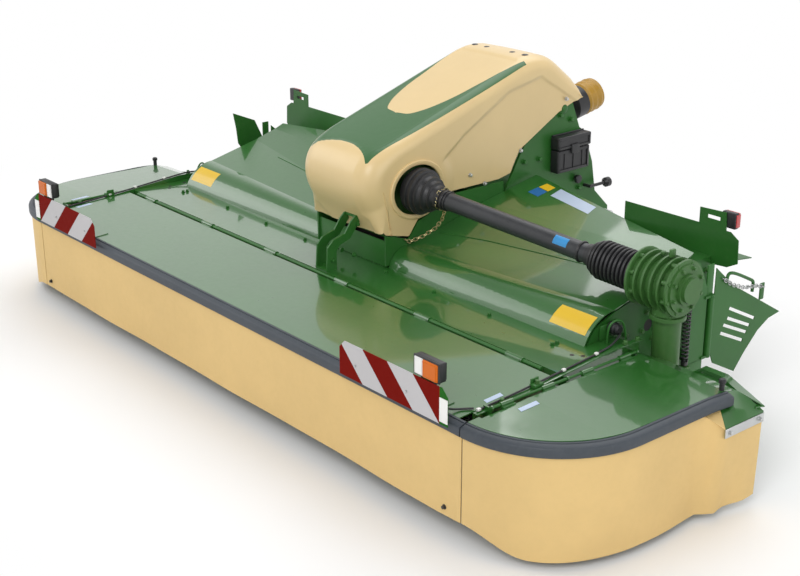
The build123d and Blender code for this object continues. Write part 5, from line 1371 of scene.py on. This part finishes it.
class MOWER_OT_cowl(bpy.types.Operator):
    """Mould the cowl: rounded nose and shoulders, set-in sides, sunk band and ringed opening"""
    bl_idname = "mower.cowl"
    bl_label = "Cowl"

    def execute(self, context):
        skin = cowl_skin()
        clear_selection()
        bpy.ops.mesh.primitive_cylinder_add(
            vertices=96, radius=1, depth=0.2, location=at(COWL_HALF, *RING_MIDDLE),
            rotation=(0, math.pi / 2, 0), scale=(RING_OPENING[1] / 1000, RING_OPENING[0] / 1000, 1))
        opening = bpy.context.object
        settle(opening)
        slot = block("slot", (-50, 1935, 1000), (50, 2120, 1160), 1.0)
        cut_out(skin, opening)
        cut_out(skin, slot)
        rows = []
        for t in angles(96):
            rows.append([at(x, RING_MIDDLE[0] + (RING_OPENING[0] + out) * math.cos(t),
                            RING_MIDDLE[1] + (RING_OPENING[1] + out) * math.sin(t)) for out, x in RING_LIP])
        ring = shell("cowl_ring", rows + [rows[0]], caps=False)
        dress(joined("cowl_moulding", [skin, ring]), "mower", "beige_moulding", "moulding", "cowl")
        return {"FINISHED"}


# Stage

WHITE = (1, 1, 1, 1)
# the floor turns white between these distances from the middle, across counting less
FLOOR_FADE = (1.45, 2.5)
FLOOR_ACROSS = 0.6
# lamps: place, aim, size in metres and power in watts
LAMPS = {
    "key": ((5.5, -7.5, 7.0), (0.3, 0, 0.4), 5.0, 410.0),
    "side": ((8.5, 1.0, 3.0), (0.0, 0, 0.7), 5.0, 100.0),
    "fill": ((-7.0, -4.5, 5.0), (0, 0, 0.5), 6.0, 200.0),
    "top": ((-1.0, 3.5, 7.5), (0, 0, 0.4), 7.0, 340.0),
}
# in reflections the studio's white walls turn to a greyer ceiling between these heights of view
WALL_END = (0.42, 0.62)
CEILING_LEVEL, ROOM_LEVEL = 0.4, 0.5
# camera: place in metres, turn in degrees and focal length in millimetres
CAMERA_PLACE = (4.7364, -4.1123, 2.6240)
CAMERA_TURN = (69.2218, 0.1142, 49.7849)
CAMERA_LENS = 62.298


def seen_directly(tree, *kinds):
    """A mask of the rays by which the camera sees a surface, straight or in a reflection."""
    path = node(tree, "ShaderNodeLightPath").outputs
    mask = path[kinds[0]]
    for kind in kinds[1:]:
        mask = maths(tree, "MAXIMUM", mask, path[kind])
    return mask


def mix_shaders(tree, mask, first, second, output):
    """First shader where the mask is 0, second where it is 1, into an output node's surface."""
    mixed = node(tree, "ShaderNodeMixShader")
    for socket, source in zip(mixed.inputs, (mask, first.outputs[0], second.outputs[0])):
        tree.links.new(source, socket)
    tree.links.new(mixed.outputs[0], tree.nodes[output].inputs["Surface"])


def make_floor():
    """A pale floor that fades to plain white away from the machine, as the camera sees it."""
    clear_selection()
    bpy.ops.mesh.primitive_plane_add(size=60, location=(0, 0, -0.002))
    floor = bpy.context.object
    floor.name = "floor"
    settle(floor)
    pale = bpy.data.materials.new("pale floor")
    pale.use_nodes = True
    tree = pale.node_tree
    shader = tree.nodes["Principled BSDF"]
    shader.inputs["Base Color"].default_value = (0.93, 0.93, 0.93, 1.0)
    shader.inputs["Roughness"].default_value = 0.9
    places = node(tree, "ShaderNodeTexCoord").outputs["Object"]
    narrowed = node(tree, "ShaderNodeVectorMath", operation="MULTIPLY", Vector=places)
    narrowed.inputs[1].default_value = (FLOOR_ACROSS, 1.0, 1.0)
    far = node(tree, "ShaderNodeVectorMath", operation="LENGTH", Vector=narrowed.outputs["Vector"])
    fade = map_range(tree, far.outputs["Value"], *FLOOR_FADE, interpolation_type="SMOOTHSTEP")
    mask = maths(tree, "MULTIPLY", fade, seen_directly(tree, "Is Camera Ray", "Is Glossy Ray"))
    mix_shaders(tree, mask, shader, node(tree, "ShaderNodeEmission", Color=WHITE), "Material Output")
    floor.data.materials.append(pale)


def make_world():
    """Even soft light, and white walls with a greyer ceiling for reflections."""
    world = bpy.data.worlds.new("studio")
    world.use_nodes = True
    tree = world.node_tree
    plain = tree.nodes["Background"]
    plain.inputs["Color"].default_value = WHITE
    plain.inputs["Strength"].default_value = ROOM_LEVEL
    ways = node(tree, "ShaderNodeTexCoord").outputs["Generated"]
    up = node(tree, "ShaderNodeSeparateXYZ", Vector=ways).outputs["Z"]
    level = map_range(tree, up, *WALL_END, 1.0, CEILING_LEVEL, interpolation_type="SMOOTHSTEP")
    walls = node(tree, "ShaderNodeBackground", Color=WHITE, Strength=level)
    mask = seen_directly(tree, "Is Camera Ray", "Is Glossy Ray", "Is Transmission Ray")
    mix_shaders(tree, mask, plain, walls, "World Output")
    bpy.context.scene.world = world


class MOWER_OT_stage(bpy.types.Operator):
    """Make the pale floor, the lamps, the world and the camera"""
    bl_idname = "mower.stage"
    bl_label = "Stage"

    def execute(self, context):
        scene = context.scene
        make_floor()
        for name, (spot, aim, size, power) in LAMPS.items():
            lamp = bpy.data.lights.new(name, "AREA")
            lamp.energy = power
            lamp.size = size
            holder = bpy.data.objects.new(name, lamp)
            scene.collection.objects.link(holder)
            holder.location = spot
            holder.rotation_euler = turn_to(Vector(spot) - Vector(aim))
        make_world()
        scene.view_settings.view_transform = "Standard"
        lens = bpy.data.cameras.new("camera")
        lens.lens = CAMERA_LENS
        lens.sensor_width = 36.0
        camera = bpy.data.objects.new("camera", lens)
        scene.collection.objects.link(camera)
        camera.location = CAMERA_PLACE
        camera.rotation_euler = [math.radians(v) for v in CAMERA_TURN]
        scene.camera = camera
        return {"FINISHED"}


STEPS = [
    MOWER_OT_finishes, MOWER_OT_cowl, MOWER_OT_bumpers, MOWER_OT_skirts, MOWER_OT_corners, MOWER_OT_boards,
    MOWER_OT_front_lamps, MOWER_OT_rear_lamps, MOWER_OT_cross_guard, MOWER_OT_gearbox, MOWER_OT_spring,
    MOWER_OT_document_box, MOWER_OT_headstock, MOWER_OT_rail_fittings, MOWER_OT_plates, MOWER_OT_hood_fittings,
    MOWER_OT_swath_fittings, MOWER_OT_stage,
]


class MOWER_PT_panel(bpy.types.Panel):
    """Lists the mower's steps and settings"""
    bl_idname = "MOWER_PT_panel"
    bl_label = "Front disc mower"
    bl_space_type = "VIEW_3D"
    bl_region_type = "UI"
    bl_category = "Mower"

    def draw(self, context):
        column = self.layout.column()
        for step in STEPS:
            column.operator(step.bl_idname)
        for group in (context.scene.mower_colors, context.scene.mower_sizes):
            for key in group.bl_rna.properties.keys():
                if key not in ("rna_type", "name"):
                    column.prop(group, key)


CLASSES = [MowerColors, MowerSizes, *STEPS, MOWER_PT_panel]


def register():
    """Add the classes and settings."""
    for made in CLASSES:
        bpy.utils.register_class(made)
    bpy.types.Scene.mower_colors = PointerProperty(type=MowerColors)
    bpy.types.Scene.mower_sizes = PointerProperty(type=MowerSizes)


def unregister():
    """Take the classes and settings away."""
    del bpy.types.Scene.mower_sizes
    del bpy.types.Scene.mower_colors
    for made in reversed(CLASSES):
        bpy.utils.unregister_class(made)


def main():
    """Dress the mower."""
    register()
    for step in STEPS:
        area, name = step.bl_idname.split(".")
        getattr(getattr(bpy.ops, area), name)()


if __name__ == "__main__":
    main()
